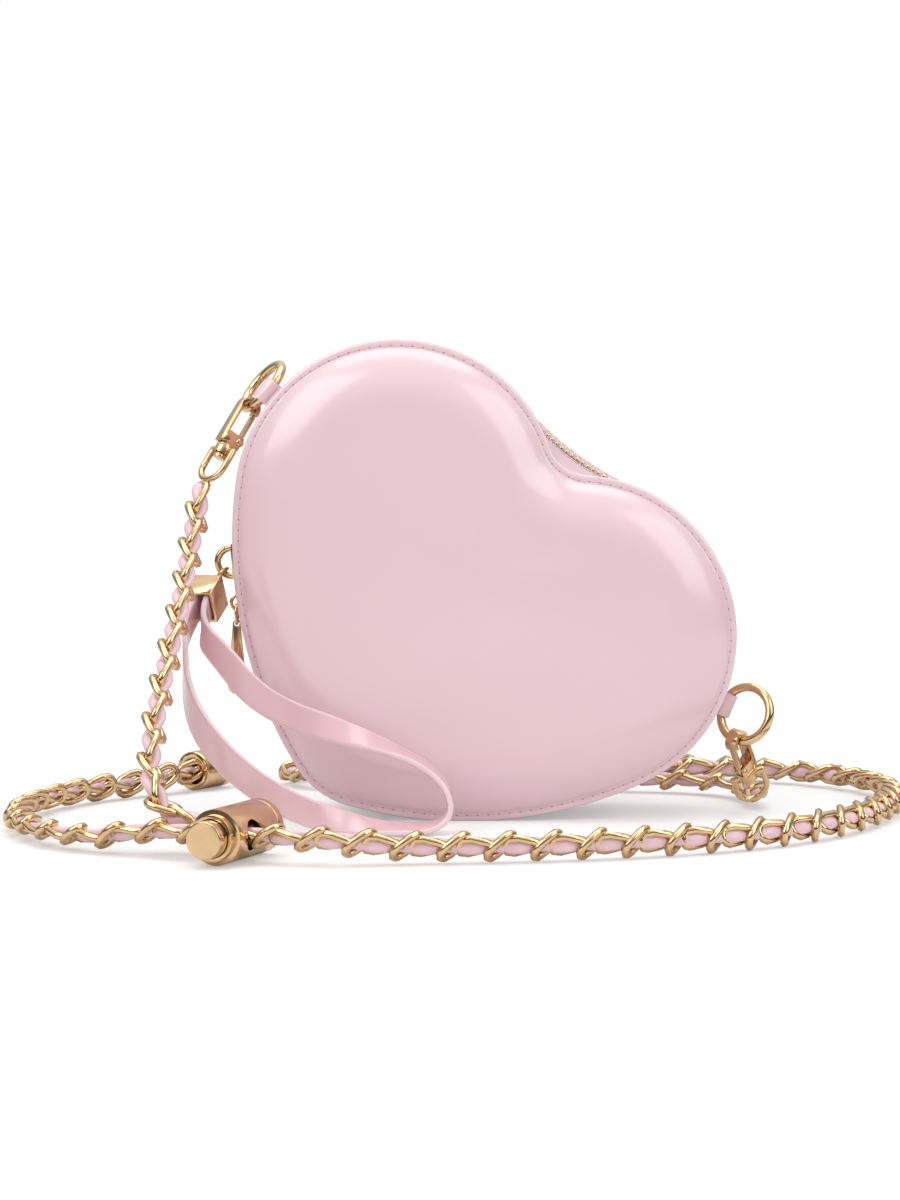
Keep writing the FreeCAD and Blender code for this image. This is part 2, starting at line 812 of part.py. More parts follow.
def eye_bottom():
    """How far under the hook's bend the eye ends."""
    foot = at("hook_reach") + at("base_height") + at("swivel_gap")
    return foot + at("collar_height") / 2 + at("eye_leg") + at("eye_radius") + at("eye_wire")


# Free cords: straight runs joined by tangent arcs
def tube(label, points, radius):
    points = [Vector(*p) for p in points]
    edges = []
    start = points[0]
    radii = []
    for before, corner, after in zip(points, points[1:], points[2:]):
        into, out = corner - before, after - corner
        reach = ARC_SHARE * min(into.Length, out.Length)
        turn = into.getAngle(out)
        into.normalize()
        out.normalize()
        bend = reach / math.tan(turn / 2)
        radii.append(bend)
        first, last = corner - into * reach, corner + out * reach
        middle = corner + (out - into).normalize() * (bend / math.cos(turn / 2) - bend)
        edges.append(Part.LineSegment(start, first).toShape())
        edges.append(Part.Arc(first, middle, last).toShape())
        start = last
    edges.append(Part.LineSegment(start, points[-1]).toShape())
    path = Part.Wire(edges)
    section = Part.Wire(Part.Circle(points[0], points[1] - points[0], radius).toShape())
    solid = path.makePipeShell([section], True, False)
    expected = math.pi * radius**2 * path.Length
    print(f"{label}: {path.Length:.0f} mm, least radius {min(radii):.1f} mm,",
          f"volume {solid.Volume / expected:.4f} of section times length")
    formed(label, solid)


# Stopper: barrel across the chain, with a sprung button, and its end cap
STOPPER_TURN = math.radians(at("stopper_turn"))
STOPPER_AXIS = Vector(math.cos(STOPPER_TURN), math.sin(STOPPER_TURN), 0)
STOPPER_SIDE = Vector(STOPPER_AXIS.y, -STOPPER_AXIS.x, 0)
STOPPER_BASE = Vector(at("stopper_x"), at("stopper_y"), at("stopper_radius"))


def stopper_frame(distance):
    """A frame on the stopper's axis, that far behind its button's face, Z towards the back."""
    return facing(STOPPER_BASE + STOPPER_AXIS * distance, STOPPER_AXIS, STOPPER_SIDE)


def build_stopper():
    front = d.button_out
    hollow = d.button_radius + d.button_play
    length = d.stopper_length
    nose = cylinder("stopper_nose_rim", d.stopper_nose_radius, d.stopper_nose)
    barrel = cylinder("stopper_tube", d.stopper_radius, length - d.stopper_nose, UP * at("stopper_nose"))
    room = cylinder("stopper_room", hollow, length + d.overrun * 2, UP * -at("overrun"))
    bore_middle = UP * (at("bore_place") - front.value)
    wide = d.stopper_radius * 2 + d.overrun * 2
    bore = rod("stopper_bore", d.chain_radius + d.chain_play, wide, bore_middle, RIGHT)
    shell = cut("stopper_shell", fuse("stopper_solid", nose, barrel), room, bore)
    node("stopper_barrel", shell, stopper_frame(front.value))
    plunger_length = d.bore_place + d.chain_radius + d.chain_play + d.button_back - d.button_travel
    rod_body = cylinder("button_rod", d.button_radius, plunger_length)
    slot_tall = (d.chain_radius + d.chain_play) * 2
    slot_long = slot_tall + d.button_travel
    slot_middle = UP * (at("bore_place") - at("button_travel") / 2)
    slot = block("button_slot", d.button_radius * 2 + d.overrun, slot_tall, slot_long, slot_middle)
    edge = doc.addObject("Part::Fillet", "button_edge")
    edge.Base = cut("button_cut", rod_body, slot)
    doc.recompute()
    rim = [
        index
        for index, line in enumerate(edge.Base.Shape.Edges, start=1)
        if line.BoundBox.ZMax < at("overrun")
    ]
    rounding = at("button_play") * 2
    edge.Edges = [(index, rounding, rounding) for index in rim]
    node("stopper_button", edge, stopper_frame(0))
    end = front.value + at("stopper_length")
    spring_length = length + d.button_out - plunger_length
    spring = cut(
        "spring_sleeve",
        cylinder("spring_outside", d.spring_radius + d.spring_wire, spring_length),
        cylinder("spring_inside", d.spring_radius, spring_length),
    )
    node("stopper_spring", spring, stopper_frame(plunger_length.value))
    cap = body("stopper_cap_body")
    disc = circle_sketch(cap, "stopper_cap_disc", "XY_Plane", d.stopper_radius)
    feature(cap, "PartDesign::Pad", "stopper_cap_pad", disc, d.stopper_cap)
    node("stopper_cap", cap, stopper_frame(end))


def build_cup():
    """The cup that ends the tail: a turned cap with a blind bore for the chain's end."""
    cup = body("end_cup_body")
    outside = circle_sketch(cup, "cup_outside", "XY_Plane", d.cup_radius)
    feature(cup, "PartDesign::Pad", "cup_pad", outside, d.cup_length)
    inside = circle_sketch(cup, "cup_inside", "XY_Plane", d.chain_radius + d.chain_play)
    feature(cup, "PartDesign::Pocket", "cup_pocket", inside, d.cup_depth, True)
    node("end_cup", cup, facing(CUP_MOUTH, CUP_AIM))


# Wrist strap: staple on the gusset, link, clamp and the strap's loop
def build_staple():
    frame = on_left_flank(at("staple_height"), at("staple_depth"))
    plate = d.staple_plate
    foot_length = d.staple_radius * 2 + d.staple_wire * 2
    foot = block(
        "staple_foot", foot_length, d.staple_plate_width, plate, UP * (plate.value / 2)
    )
    arch = torus("staple_arch", d.staple_radius, d.staple_wire, Placement(), 180)
    arch.Placement = Placement(UP * plate.value, Rotation(RIGHT, Vector(), BACK * -1, "ZXY"))
    node("wrist_staple", fuse("staple_solid", foot, arch), frame)
    along, out = frame.Rotation.multVec(RIGHT), frame.Rotation.multVec(UP)
    lean = along if along.z < 0 else along * -1
    spoke = (out + lean).normalize()
    hold = frame.multVec(UP * plate.value) + spoke * at("staple_radius")
    return hold, (lean - out).normalize()


def build_clamp(hold, tangent):
    """The clamp that holds both ends of the strap, its lug, and the link to the staple."""
    aim = Vector(*CLAMP_AIM).normalize()
    top = (UP - aim * UP.dot(aim)).normalize()
    across = aim.cross(top)
    line = Vector(*LINK_AIM).normalize()
    inside = at("link_radius") - at("link_wire") - at("link_play")
    centre = hold + line * (inside - at("staple_wire"))
    normal = tangent - line * tangent.dot(line)
    link = torus("wrist_link_torus", d.link_radius, d.link_wire, facing(centre, normal))
    node("wrist_link", link)
    far = centre + line * (inside - at("lug_wire"))
    lug_place = far + aim * at("lug_radius")
    lug = torus("wrist_lug_torus", d.lug_radius, d.lug_wire, Placement(), 180)
    node("wrist_lug", lug, Placement(lug_place, Rotation(tangent, aim * -1, Vector(), "YXZ")))
    back = lug_place - top * (at("clamp_height") / 2 - at("lug_radius") - at("lug_wire"))
    box = body("wrist_clamp_body")
    outside = rectangle_sketch(box, "clamp_outside", "XY_Plane", d.clamp_width, d.clamp_height)
    feature(box, "PartDesign::Pad", "clamp_pad", outside, d.clamp_depth)
    room_wide = d.clamp_width - d.clamp_wall * 2
    room_tall = d.clamp_height - d.clamp_wall * 2
    room = rectangle_sketch(box, "clamp_inside", "XY_Plane", room_wide, room_tall)
    room.setExpression("AttachmentOffset.Base.z", d.clamp_depth.text)
    feature(box, "PartDesign::Pocket", "clamp_pocket", room, d.clamp_depth - d.clamp_back)
    node("wrist_clamp", box, Placement(back, Rotation(across, Vector(), aim, "ZXY")))
    screw_base = back + aim * (at("clamp_depth") / 2) + across * (at("clamp_width") / 2)
    node("clamp_screw", cylinder("clamp_screw_disc", d.screw_radius, d.screw_head, screw_base, across))
    shift = across * (at("strap_spread") / 2)
    seat = back + aim * (at("clamp_back") + at("link_play"))
    mouth = back + aim * at("clamp_depth")
    return [(seat + shift * side, mouth + shift * side) for side in (1, -1)], aim


def build_strap(ends, aim):
    (left_in, left_out), (right_in, right_out) = ends
    step = aim * at("clamp_depth")
    route = [left_in, left_out + step, *WRIST_STRAP, right_out + step, right_in]
    tube("wrist_strap", [tuple(p) for p in route], at("strap_radius"))


def build_chains(left_frame, right_frame):
    drop = Vector(0, 0, -eye_bottom() - 2 * at("chain_play"))
    left_start = left_frame.multVec(drop)
    anchor = stopper_frame(at("anchor_place")).Base - STOPPER_SIDE * (
        at("stopper_radius") + at("chain_play")
    )
    tube("left_chain", [left_start, *LEFT_CHAIN, anchor], at("chain_radius"))
    right_start = right_frame.multVec(drop)
    lead = right_start - right_frame.Base
    lead.z = 0
    right_start.z = MAIN_CHAIN[0][2]
    right_start = right_start + lead.normalize() * at("chain_radius")
    bore = stopper_frame(at("bore_place")).Base
    run = STOPPER_SIDE * at("stopper_length")
    tube("main_chain", [right_start, *MAIN_CHAIN, bore + run, bore], at("chain_radius"))
    cup = facing(CUP_MOUTH, CUP_AIM)
    seat = cup.multVec(UP * at("cup_depth"))
    lead_in = cup.multVec(UP * -at("cup_depth"))
    tube("tail_chain", [bore, bore - run, *TAIL_CHAIN, lead_in, seat], at("chain_radius"))


def check():
    failed = [o.Name for o in doc.Objects if {"Invalid", "Error"} & set(o.State)]
    for label, piece in nodes.items():
        if piece.Shape.isNull() or not piece.Shape.isValid() or piece.Shape.Volume <= 0:
            failed.append(label)
    if failed:
        raise ValueError(f"these objects failed: {failed}")


def main():
    build_panels()
    build_gusset()
    bail = build_slider()
    build_pull(bail)
    left = on_lobe(LEFT_LOBE, at("left_tab_angle"), at("left_tab_depth"))
    left_pivot = build_tab("left", left)
    wire, across = build_ring("left", left, left_pivot, at("left_ring_lift"), LEFT_CLASP_AIM)
    left_clasp = build_clasp("left", wire, LEFT_CLASP_AIM, across, at("left_eye_turn"))
    right = on_lobe(RIGHT_LOBE, at("right_tab_angle"), at("right_tab_depth"))
    right_pivot = build_tab("right", right)
    wire, across = build_ring("right", right, right_pivot, at("right_ring_lift"), RIGHT_CLASP_AIM)
    right_clasp = build_clasp("right", wire, RIGHT_CLASP_AIM, across, at("right_eye_turn"))
    build_stopper()
    build_cup()
    hold, tangent = build_staple()
    ends, aim = build_clamp(hold, tangent)
    build_strap(ends, aim)
    build_chains(left_clasp, right_clasp)
    doc.recompute()
    check()
    os.makedirs("parts", exist_ok=True)
    for label, piece in nodes.items():
        piece.Shape.exportStep(f"parts/{label}.step")
    print("nodes:", len(nodes))
    pin = Vector(at("hook_gap") + at("hook_bar") / 2, 0, -at("hook_reach") - at("gate_pin_drop"))
    places = {
        "left pivot": left_pivot,
        "right pivot": right_pivot,
        "left clasp": left_clasp.Base,
        "right clasp": right_clasp.Base,
        "left pin": left_clasp.multVec(pin),
        "right pin": right_clasp.multVec(pin),
        "bail": bail,
        "staple hold": hold,
        "flank centre": LEFT_FLANK,
        "stopper": STOPPER_BASE,
    }
    axes = {
        "left outline": left.Rotation.multVec(RIGHT),
        "right outline": right.Rotation.multVec(RIGHT),
        "left clasp axis": left_clasp.Rotation.multVec(UP),
        "right clasp axis": right_clasp.Rotation.multVec(UP),
        "left pin axis": left_clasp.Rotation.multVec(BACK),
        "right pin axis": right_clasp.Rotation.multVec(BACK),
        "staple wire": tangent,
        "stopper axis": STOPPER_AXIS,
        "stopper side": STOPPER_SIDE,
    }
    for name, v in {**places, **axes}.items():
        print(f"{name}: {v.x:.4f} {v.y:.4f} {v.z:.4f}")


main()
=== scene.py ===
"""Dresses the heart shaped purse: patent leather, zip, gold fittings, laced chain, wrist loop."""

import json
import logging
import math
from collections.abc import Iterable, Iterator
from contextlib import contextmanager
from dataclasses import dataclass
from enum import Enum

import bpy
import numpy as np
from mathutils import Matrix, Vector

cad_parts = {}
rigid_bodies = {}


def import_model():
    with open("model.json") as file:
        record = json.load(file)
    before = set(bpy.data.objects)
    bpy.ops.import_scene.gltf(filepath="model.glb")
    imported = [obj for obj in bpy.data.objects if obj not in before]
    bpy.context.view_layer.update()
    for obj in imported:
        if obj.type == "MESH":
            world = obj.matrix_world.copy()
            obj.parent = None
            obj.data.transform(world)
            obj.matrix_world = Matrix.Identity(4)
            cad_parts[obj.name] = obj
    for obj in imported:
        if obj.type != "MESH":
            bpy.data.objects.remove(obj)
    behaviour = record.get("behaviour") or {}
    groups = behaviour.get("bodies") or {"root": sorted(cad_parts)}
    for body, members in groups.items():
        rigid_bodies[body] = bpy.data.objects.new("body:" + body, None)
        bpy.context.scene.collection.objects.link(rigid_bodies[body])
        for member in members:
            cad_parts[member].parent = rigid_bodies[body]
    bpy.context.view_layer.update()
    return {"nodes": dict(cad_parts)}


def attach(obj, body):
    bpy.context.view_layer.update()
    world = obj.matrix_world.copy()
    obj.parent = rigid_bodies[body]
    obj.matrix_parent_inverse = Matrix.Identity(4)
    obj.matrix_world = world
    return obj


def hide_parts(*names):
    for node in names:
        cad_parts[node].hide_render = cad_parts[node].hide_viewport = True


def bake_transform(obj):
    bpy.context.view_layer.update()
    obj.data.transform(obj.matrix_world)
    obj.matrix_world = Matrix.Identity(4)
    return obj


LOG = logging.getLogger("heart_purse")
MM = 0.001
UP = np.array([0.0, 0.0, 1.0])
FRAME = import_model()

Pair = tuple[float, float]
Point = tuple[float, float, float]
Faces = list[tuple[int, ...]]
Shape = tuple[np.ndarray, Faces]
Sockets = tuple[bpy.types.NodeSocket, bpy.types.NodeSocket]
Link = tuple[bpy.types.Node, str | int, bpy.types.Node, str | int]


class Rides(Enum):
    """Bodies of the purse that pieces move with."""

    BAG = "bag"
    MOUTH = "mouth"
    SLIDER = "slider"
    PULL = "pull"
    LEFT_RING = "left_strap_ring"
    LEFT_GATE = "left_clasp_gate"
    LEFT_EYE = "left_clasp_eye"
    RIGHT_RING = "right_strap_ring"
    RIGHT_GATE = "right_clasp_gate"
    RIGHT_EYE = "right_clasp_eye"
    WRISTLET = "wristlet"
    STOPPER = "stopper"
    BUTTON = "button"


class Side(Enum):
    """The two sides of the purse, with the sign of their Y."""

    FRONT = -1
    BACK = 1

    @property
    def label(self) -> str:
        """The side's name, as pieces have it."""
        return self.name.lower()

    @property
    def body(self) -> Rides | None:
        """The body that this side rides on, or none for the back."""
        return Rides.BAG if self is Side.FRONT else None


# Shader groups that several finishes share
def new_group(name: str, inputs: dict[str, str], outputs: dict[str, str]) -> bpy.types.NodeTree:
    """Starts a shader node group.

    Args:
        name: name of the group.
        inputs: socket names and their kinds.
        outputs: socket names and their kinds.

    Returns:
        The group, with its input and output nodes.
    """
    group = bpy.data.node_groups.new(name, "ShaderNodeTree")
    for direction, sockets in (("INPUT", inputs), ("OUTPUT", outputs)):
        for socket, kind in sockets.items():
            kind = f"NodeSocket{kind}"
            group.interface.new_socket(name=socket, in_out=direction, socket_type=kind)
    group.nodes.new("NodeGroupInput").name = "in"
    group.nodes.new("NodeGroupOutput").name = "out"
    return group


def add_node(tree: bpy.types.NodeTree, kind: str, **values: object) -> bpy.types.Node:
    """Adds a shader node and sets its properties, or its inputs where there is no such property.

    Args:
        tree: the tree that gets the node.
        kind: the node's kind.
        values: properties, and inputs with an underscore for a space.

    Returns:
        The node.
    """
    node = tree.nodes.new(f"ShaderNode{kind}")
    for name, value in values.items():
        if hasattr(node, name):
            setattr(node, name, value)
        else:
            node.inputs[name.replace("_", " ")].default_value = value
    return node


def join(tree: bpy.types.NodeTree, *links: Link) -> None:
    """Links outputs of nodes to inputs.

    Args:
        tree: the tree that holds the nodes.
        links: for each link, the node and output that it leaves, and the node and input it enters.
    """
    for start, output, end, socket in links:
        tree.links.new(start.outputs[output], end.inputs[socket])


def grain_group() -> bpy.types.NodeTree:
    """Fine relief and slow unevenness of a coated or polished surface.

    Returns:
        The group, which is built the first time.
    """
    group = bpy.data.node_groups.get("surface_grain")
    if group:
        return group
    group = new_group(
        "surface_grain",
        {"Vector": "Vector", "Fine": "Float", "Slow": "Float"},
        {"Height": "Float", "Cloud": "Float"},
    )
    start, end = group.nodes["in"], group.nodes["out"]
    fine = add_node(group, "TexNoise", Detail=4.0, Roughness=0.6)
    slow = add_node(group, "TexNoise", Detail=2.0, Roughness=0.5)
    # The slow waves count three times as much as the fine grain
    total = add_node(group, "Math", operation="MULTIPLY_ADD")
    total.inputs[1].default_value = 3.0
    cloud = add_node(
        group, "MapRange", interpolation_type="SMOOTHERSTEP", From_Min=0.2, From_Max=0.8
    )
    for noise, scale in ((fine, "Fine"), (slow, "Slow")):
        join(group, (start, "Vector", noise, "Vector"), (start, scale, noise, "Scale"))
    join(
        group,
        (slow, "Fac", total, 0), (fine, "Fac", total, 2), (slow, "Fac", cloud, "Value"),
        (total, 0, end, "Height"), (cloud, 0, end, "Cloud"),
    )
    return group


def scratch_group() -> bpy.types.NodeTree:
    """Hairline scratches and smudges on polished metal.

    Returns:
        The group, which is built the first time.
    """
    group = bpy.data.node_groups.get("hairline_scratches")
    if group:
        return group
    group = new_group(
        "hairline_scratches",
        {"Vector": "Vector", "Scale": "Float"},
        {"Height": "Float", "Smudge": "Float"},
    )
    start, end = group.nodes["in"], group.nodes["out"]
    stretch = add_node(group, "Mapping", Scale=(1.0, 9.0, 1.0), Rotation=(0.4, 0.9, 0.3))
    lines = add_node(group, "TexNoise", Detail=3.0, Roughness=0.7)
    smudge = add_node(group, "TexNoise", Scale=140.0, Detail=3.0)
    ramp = add_node(group, "MapRange", From_Min=0.35, From_Max=0.7)
    join(
        group,
        (start, "Vector", stretch, "Vector"), (stretch, 0, lines, "Vector"),
        (start, "Scale", lines, "Scale"), (lines, "Fac", end, "Height"),
        (start, "Vector", smudge, "Vector"), (smudge, "Fac", ramp, "Value"),
        (ramp, 0, end, "Smudge"),
    )
    return group


def weave_group() -> bpy.types.NodeTree:
    """Crossed threads of a plain woven cloth.

    Returns:
        The group, which is built the first time.
    """
    group = bpy.data.node_groups.get("plain_weave")
    if group:
        return group
    group = new_group("plain_weave", {"Vector": "Vector", "Scale": "Float"}, {"Height": "Float"})
    start, end = group.nodes["in"], group.nodes["out"]
    top = add_node(group, "Math", operation="MAXIMUM")
    for socket, axis in enumerate(("X", "Z")):
        wave = add_node(
            group, "TexWave", wave_type="BANDS", bands_direction=axis, Distortion=0.6
        )
        join(group, (start, "Vector", wave, "Vector"), (start, "Scale", wave, "Scale"))
        join(group, (wave, "Fac", top, socket))
    join(group, (top, 0, end, "Height"))
    return group


def placed(
    tree: bpy.types.NodeTree,
    where: bpy.types.NodeSocket,
    group: bpy.types.NodeTree,
    outputs: tuple[str, str],
    **values: float,
) -> Sockets:
    """Places a shared group in a material.

    Args:
        tree: the material's tree.
        where: the coordinates that the group follows.
        group: the group.
        outputs: names of its height and of its mask.
        values: the group's own inputs.

    Returns:
        The height for the relief and the mask for colour and gloss.
    """
    node = add_node(tree, "Group", node_tree=group, **values)
    tree.links.new(where, node.inputs["Vector"])
    height, mask = outputs
    return node.outputs[height], node.outputs[mask]


@dataclass(frozen=True)
class Finish:
    """A finish: two close colours, a gloss range and the shared effect that varies them."""

    name: str
    colour: Point
    shade: Point
    roughness: Pair = (0.1, 0.2)
    metallic: float = 0.0
    coat: float = 0.0
    coat_roughness: float = 0.05
    sheen: float = 0.0
    specular: float = 0.5
    bump: float = 0.1
    depth: float = 0.0002
    fine: float = 900.0
    slow: float = 25.0

    def material(self) -> bpy.types.Material:
        """Builds the material once and hands out the same one after that.

        Returns:
            The material.
        """
        material = bpy.data.materials.get(self.name)
        if material:
            return material
        material = bpy.data.materials.new(self.name)
        material.use_nodes = True
        tree = material.node_tree
        shader = tree.nodes["Principled BSDF"]
        shader.inputs["Metallic"].default_value = self.metallic
        shader.inputs["Coat Weight"].default_value = self.coat
        shader.inputs["Coat Roughness"].default_value = self.coat_roughness
        shader.inputs["Sheen Weight"].default_value = self.sheen
        shader.inputs["Specular IOR Level"].default_value = self.specular
        where = add_node(tree, "TexCoord")
        height, mask = self.effect(tree, where.outputs["Object"])
        tint = add_node(tree, "Mix", data_type="RGBA")
        factor, first, second, mixed = tint.inputs[0], tint.inputs[6], tint.inputs[7], 2
        first.default_value = (*self.colour, 1.0)
        second.default_value = (*self.shade, 1.0)
        gloss = add_node(tree, "MapRange", To_Min=self.roughness[0], To_Max=self.roughness[1])
        relief = add_node(tree, "Bump", Strength=self.bump, Distance=self.depth)
        tree.links.new(mask, factor)
        tree.links.new(mask, gloss.inputs["Value"])
        tree.links.new(height, relief.inputs["Height"])
        join(
            tree,
            (tint, mixed, shader, "Base Color"), (gloss, 0, shader, "Roughness"),
            (relief, 0, shader, "Normal"),
        )
        return material

    def effect(self, tree: bpy.types.NodeTree, where: bpy.types.NodeSocket) -> Sockets:
        """Places the grain, whose slow waves vary colour and gloss."""
        outputs = ("Height", "Cloud")
        return placed(tree, where, grain_group(), outputs, Fine=self.fine, Slow=self.slow)


@dataclass(frozen=True)
class MetalFinish(Finish):
    """A polished metal with hairline scratches and smudges."""

    def effect(self, tree: bpy.types.NodeTree, where: bpy.types.NodeSocket) -> Sockets:
        """Places the scratches, with smudges that vary colour and gloss."""
        return placed(tree, where, scratch_group(), ("Height", "Smudge"), Scale=self.fine)


@dataclass(frozen=True)
class ClothFinish(Finish):
    """A woven cloth whose threads vary its colour."""

    def effect(self, tree: bpy.types.NodeTree, where: bpy.types.NodeSocket) -> Sockets:
        """Places the weave, whose threads are both relief and colour."""
        return placed(tree, where, weave_group(), ("Height", "Height"), Scale=self.fine)


PATENT = Finish(
    "pink_patent", (0.80, 0.589, 0.634), (0.785, 0.572, 0.617), (0.225, 0.255),
    coat=0.75, coat_roughness=0.15, bump=0.03, depth=0.0004, fine=240.0, slow=11.0,
)
STRAP_PATENT = Finish(
    "strap_patent", (0.77, 0.51, 0.545), (0.75, 0.485, 0.52), (0.225, 0.255),
    coat=0.75, coat_roughness=0.15, bump=0.05, depth=0.0003, fine=300.0, slow=30.0,
)
ZIP_PATENT = Finish(
    "zip_patent", (0.79, 0.572, 0.612), (0.77, 0.55, 0.59), (0.225, 0.255),
    coat=0.1, coat_roughness=0.15, specular=0.2, bump=0.05, depth=0.0003, fine=300.0, slow=20.0,
)
LACE = Finish(
    "pink_lace", (0.86, 0.60, 0.65), (0.81, 0.54, 0.59), (0.3, 0.42),
    coat=0.4, bump=0.25, fine=1400.0,
)
EDGE = Finish(
    "cut_edge", (0.84, 0.66, 0.69), (0.80, 0.60, 0.64), (0.4, 0.55), bump=0.3, fine=1800.0
)
THREAD = Finish(
    "pink_thread", (0.79, 0.56, 0.60), (0.72, 0.48, 0.53), (0.4, 0.55),
    sheen=0.3, bump=0.4, fine=4000.0,
)
# Needle holes: dark dots that paint the shade inside each hole, not a colour of the leather
HOLE_SHADE = Finish(
    "needle_hole_shade", (0.44, 0.27, 0.29), (0.38, 0.22, 0.24), (0.7, 0.8), bump=0.1, fine=3000.0
)
LINING = ClothFinish(
    "lining_cloth", (0.76, 0.58, 0.60), (0.66, 0.47, 0.50), (0.6, 0.75),
    sheen=0.3, bump=0.5, fine=700.0,
)
# Zip tape cloth whose beige tint is a painted reflection of the gold teeth beside it
TAPE = ClothFinish(
    "zip_tape_cloth_gold_reflection", (0.82, 0.67, 0.60), (0.70, 0.54, 0.48), (0.6, 0.75),
    sheen=0.2, bump=0.6, fine=900.0,
)
BOARD = Finish(
    "stiffener", (0.70, 0.65, 0.60), (0.62, 0.57, 0.52), (0.7, 0.85), bump=0.4, fine=500.0
)
GOLD = MetalFinish(
    "pale_gold", (0.73, 0.515, 0.295), (0.66, 0.45, 0.245), (0.08, 0.15),
    metallic=1.0, bump=0.05, depth=0.0001, fine=900.0,
)
TOOTH_GOLD = MetalFinish(
    "zip_gold", (0.80, 0.62, 0.42), (0.70, 0.52, 0.33), (0.16, 0.3),
    metallic=1.0, bump=0.1, depth=0.0001, fine=1200.0,
)


# Small helpers for meshes and operators
def deselect() -> None:
    """Leaves edit mode and clears the selection."""
    if bpy.context.mode != "OBJECT":
        bpy.ops.object.mode_set(mode="OBJECT")
    bpy.ops.object.select_all(action="DESELECT")


@contextmanager
def edit_mode(piece: bpy.types.Object) -> Iterator[None]:
    """Opens one piece in edit mode with all of it selected, for the length of a block.

    Args:
        piece: the piece, which stays the only selected and the active one.

    Returns:
        Nothing for the block to use.
    """
    deselect()
    piece.select_set(True)
    bpy.context.view_layer.objects.active = piece
    bpy.ops.object.mode_set(mode="EDIT")
    bpy.ops.mesh.select_all(action="SELECT")
    yield
    bpy.ops.object.mode_set(mode="OBJECT")


def mesh_piece(name: str, points: np.ndarray, faces: Faces) -> bpy.types.Object:
    """Makes an object at the origin, with its normals outwards.

    Args:
        name: name of the piece.
        points: its points, in metres.
        faces: its faces, as numbers of points.

    Returns:
        The piece.
    """
    mesh = bpy.data.meshes.new(name)
    mesh.from_pydata([tuple(map(float, p)) for p in points], [], faces)
    mesh.update()
    piece = bpy.data.objects.new(name, mesh)
    bpy.context.scene.collection.objects.link(piece)
    with edit_mode(piece):
        bpy.ops.mesh.normals_make_consistent(inside=False)
    bpy.ops.object.shade_smooth()
    return piece


def dress(
    piece: bpy.types.Object,
    finish: Finish,
    body: Rides | None,
    replaced: tuple[str, ...] = (),
) -> bpy.types.Object:
    """Gives a piece its finish, hangs it on its body and hides the nodes that it stands for.

    Args:
        piece: the piece.
        finish: its finish.
        body: the body that it rides on, or none.
        replaced: the nodes that it stands for.

    Returns:
        The piece.
    """
    piece.data.materials.clear()
    piece.data.materials.append(finish.material())
    if body:
        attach(piece, body.value)
    if replaced:
        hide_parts(*replaced)
    LOG.info("%s: %d faces", piece.name, len(piece.data.polygons))
    return piece


def paint(name: str, finish: Finish) -> None:
    """Gives a node of the frame a finish.

    Args:
        name: name of the node.
        finish: its finish.
    """
    node = FRAME["nodes"][name]
    node.data.materials.clear()
    node.data.materials.append(finish.material())


@dataclass(frozen=True)
class Bend:
    """A stretch, in metres, over which a piece of the bag goes over to another body."""

    body: Rides
    start: Point
    end: Point

    def apply(self, piece: bpy.types.Object) -> None:
        """Bakes the piece's placement into its mesh; the piece does not bend."""
        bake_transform(piece)


def ring_faces(rings: int, count: int, closed: bool = False) -> Faces:
    """Quads between rings of equally many points.

    Args:
        rings: how many rings there are.
        count: points in each.
        closed: whether the last ring joins the first.

    Returns:
        The faces.
    """
    faces = []
    for ring in range(rings if closed else rings - 1):
        after = (ring + 1) % rings
        for k in range(count):
            n = (k + 1) % count
            faces.append((ring * count + k, ring * count + n, after * count + n, after * count + k))
    return faces


def tube(rings: list[np.ndarray]) -> Shape:
    """A skin over rings of equally many points, closed at both ends.

    Args:
        rings: the rings, from end to end.

    Returns:
        Its points and faces, with the two end faces last.
    """
    count = len(rings[0])
    last = (len(rings) - 1) * count
    ends = [tuple(range(count - 1, -1, -1)), tuple(range(last, last + count))]
    return np.concatenate(rings), ring_faces(len(rings), count) + ends


def gather(shapes: Iterable[Shape]) -> Shape:
    """Puts several shapes together as one.

    Args:
        shapes: points and faces of each.

    Returns:
        All points and all faces.
    """
    all_points, all_faces, start = [], [], 0
    for points, faces in shapes:
        all_points.append(points)
        all_faces.extend(tuple(i + start for i in face) for face in faces)
        start += len(points)
    return np.concatenate(all_points), all_faces


def template(piece: bpy.types.Object) -> Shape:
    """Takes the shape of a modelled piece and removes the object.

    Args:
        piece: the piece that was modelled once, about the origin.

    Returns:
        Its points, in metres, and its faces.
    """
    mesh = piece.data
    points = np.array([tuple(v.co) for v in mesh.vertices])
    faces = [tuple(p.vertices) for p in mesh.polygons]
    bpy.data.objects.remove(piece, do_unlink=True)
    return points, faces


def bead(radius: float, stretch: Point, segments: int, rings: int) -> Shape:
    """A ball drawn out or flattened along its axes.

    Args:
        radius: radius of the ball, in millimetres.
        stretch: what each of its axes is multiplied by.
        segments: its steps round.
        rings: its steps from pole to pole.

    Returns:
        Its points, in metres, and its faces.
    """
    deselect()
    bpy.ops.mesh.primitive_uv_sphere_add(segments=segments, ring_count=rings, radius=radius * MM)
    ball = bpy.context.object
    with edit_mode(ball):
        bpy.ops.transform.resize(value=stretch)
    return template(ball)


def repeat(
    name: str, shape: Shape, places: Iterable[np.ndarray], bases: Iterable[np.ndarray]
) -> bpy.types.Object:
    """Copies a shape to many places, as one mesh.

    Args:
        name: name of the piece.
        shape: what is copied.
        places: where the copies go.
        bases: the axes of each copy.

    Returns:
        The piece.
    """
    points, faces = shape
    copies = ((points @ base + place, faces) for place, base in zip(places, bases))
    return mesh_piece(name, *gather(copies))


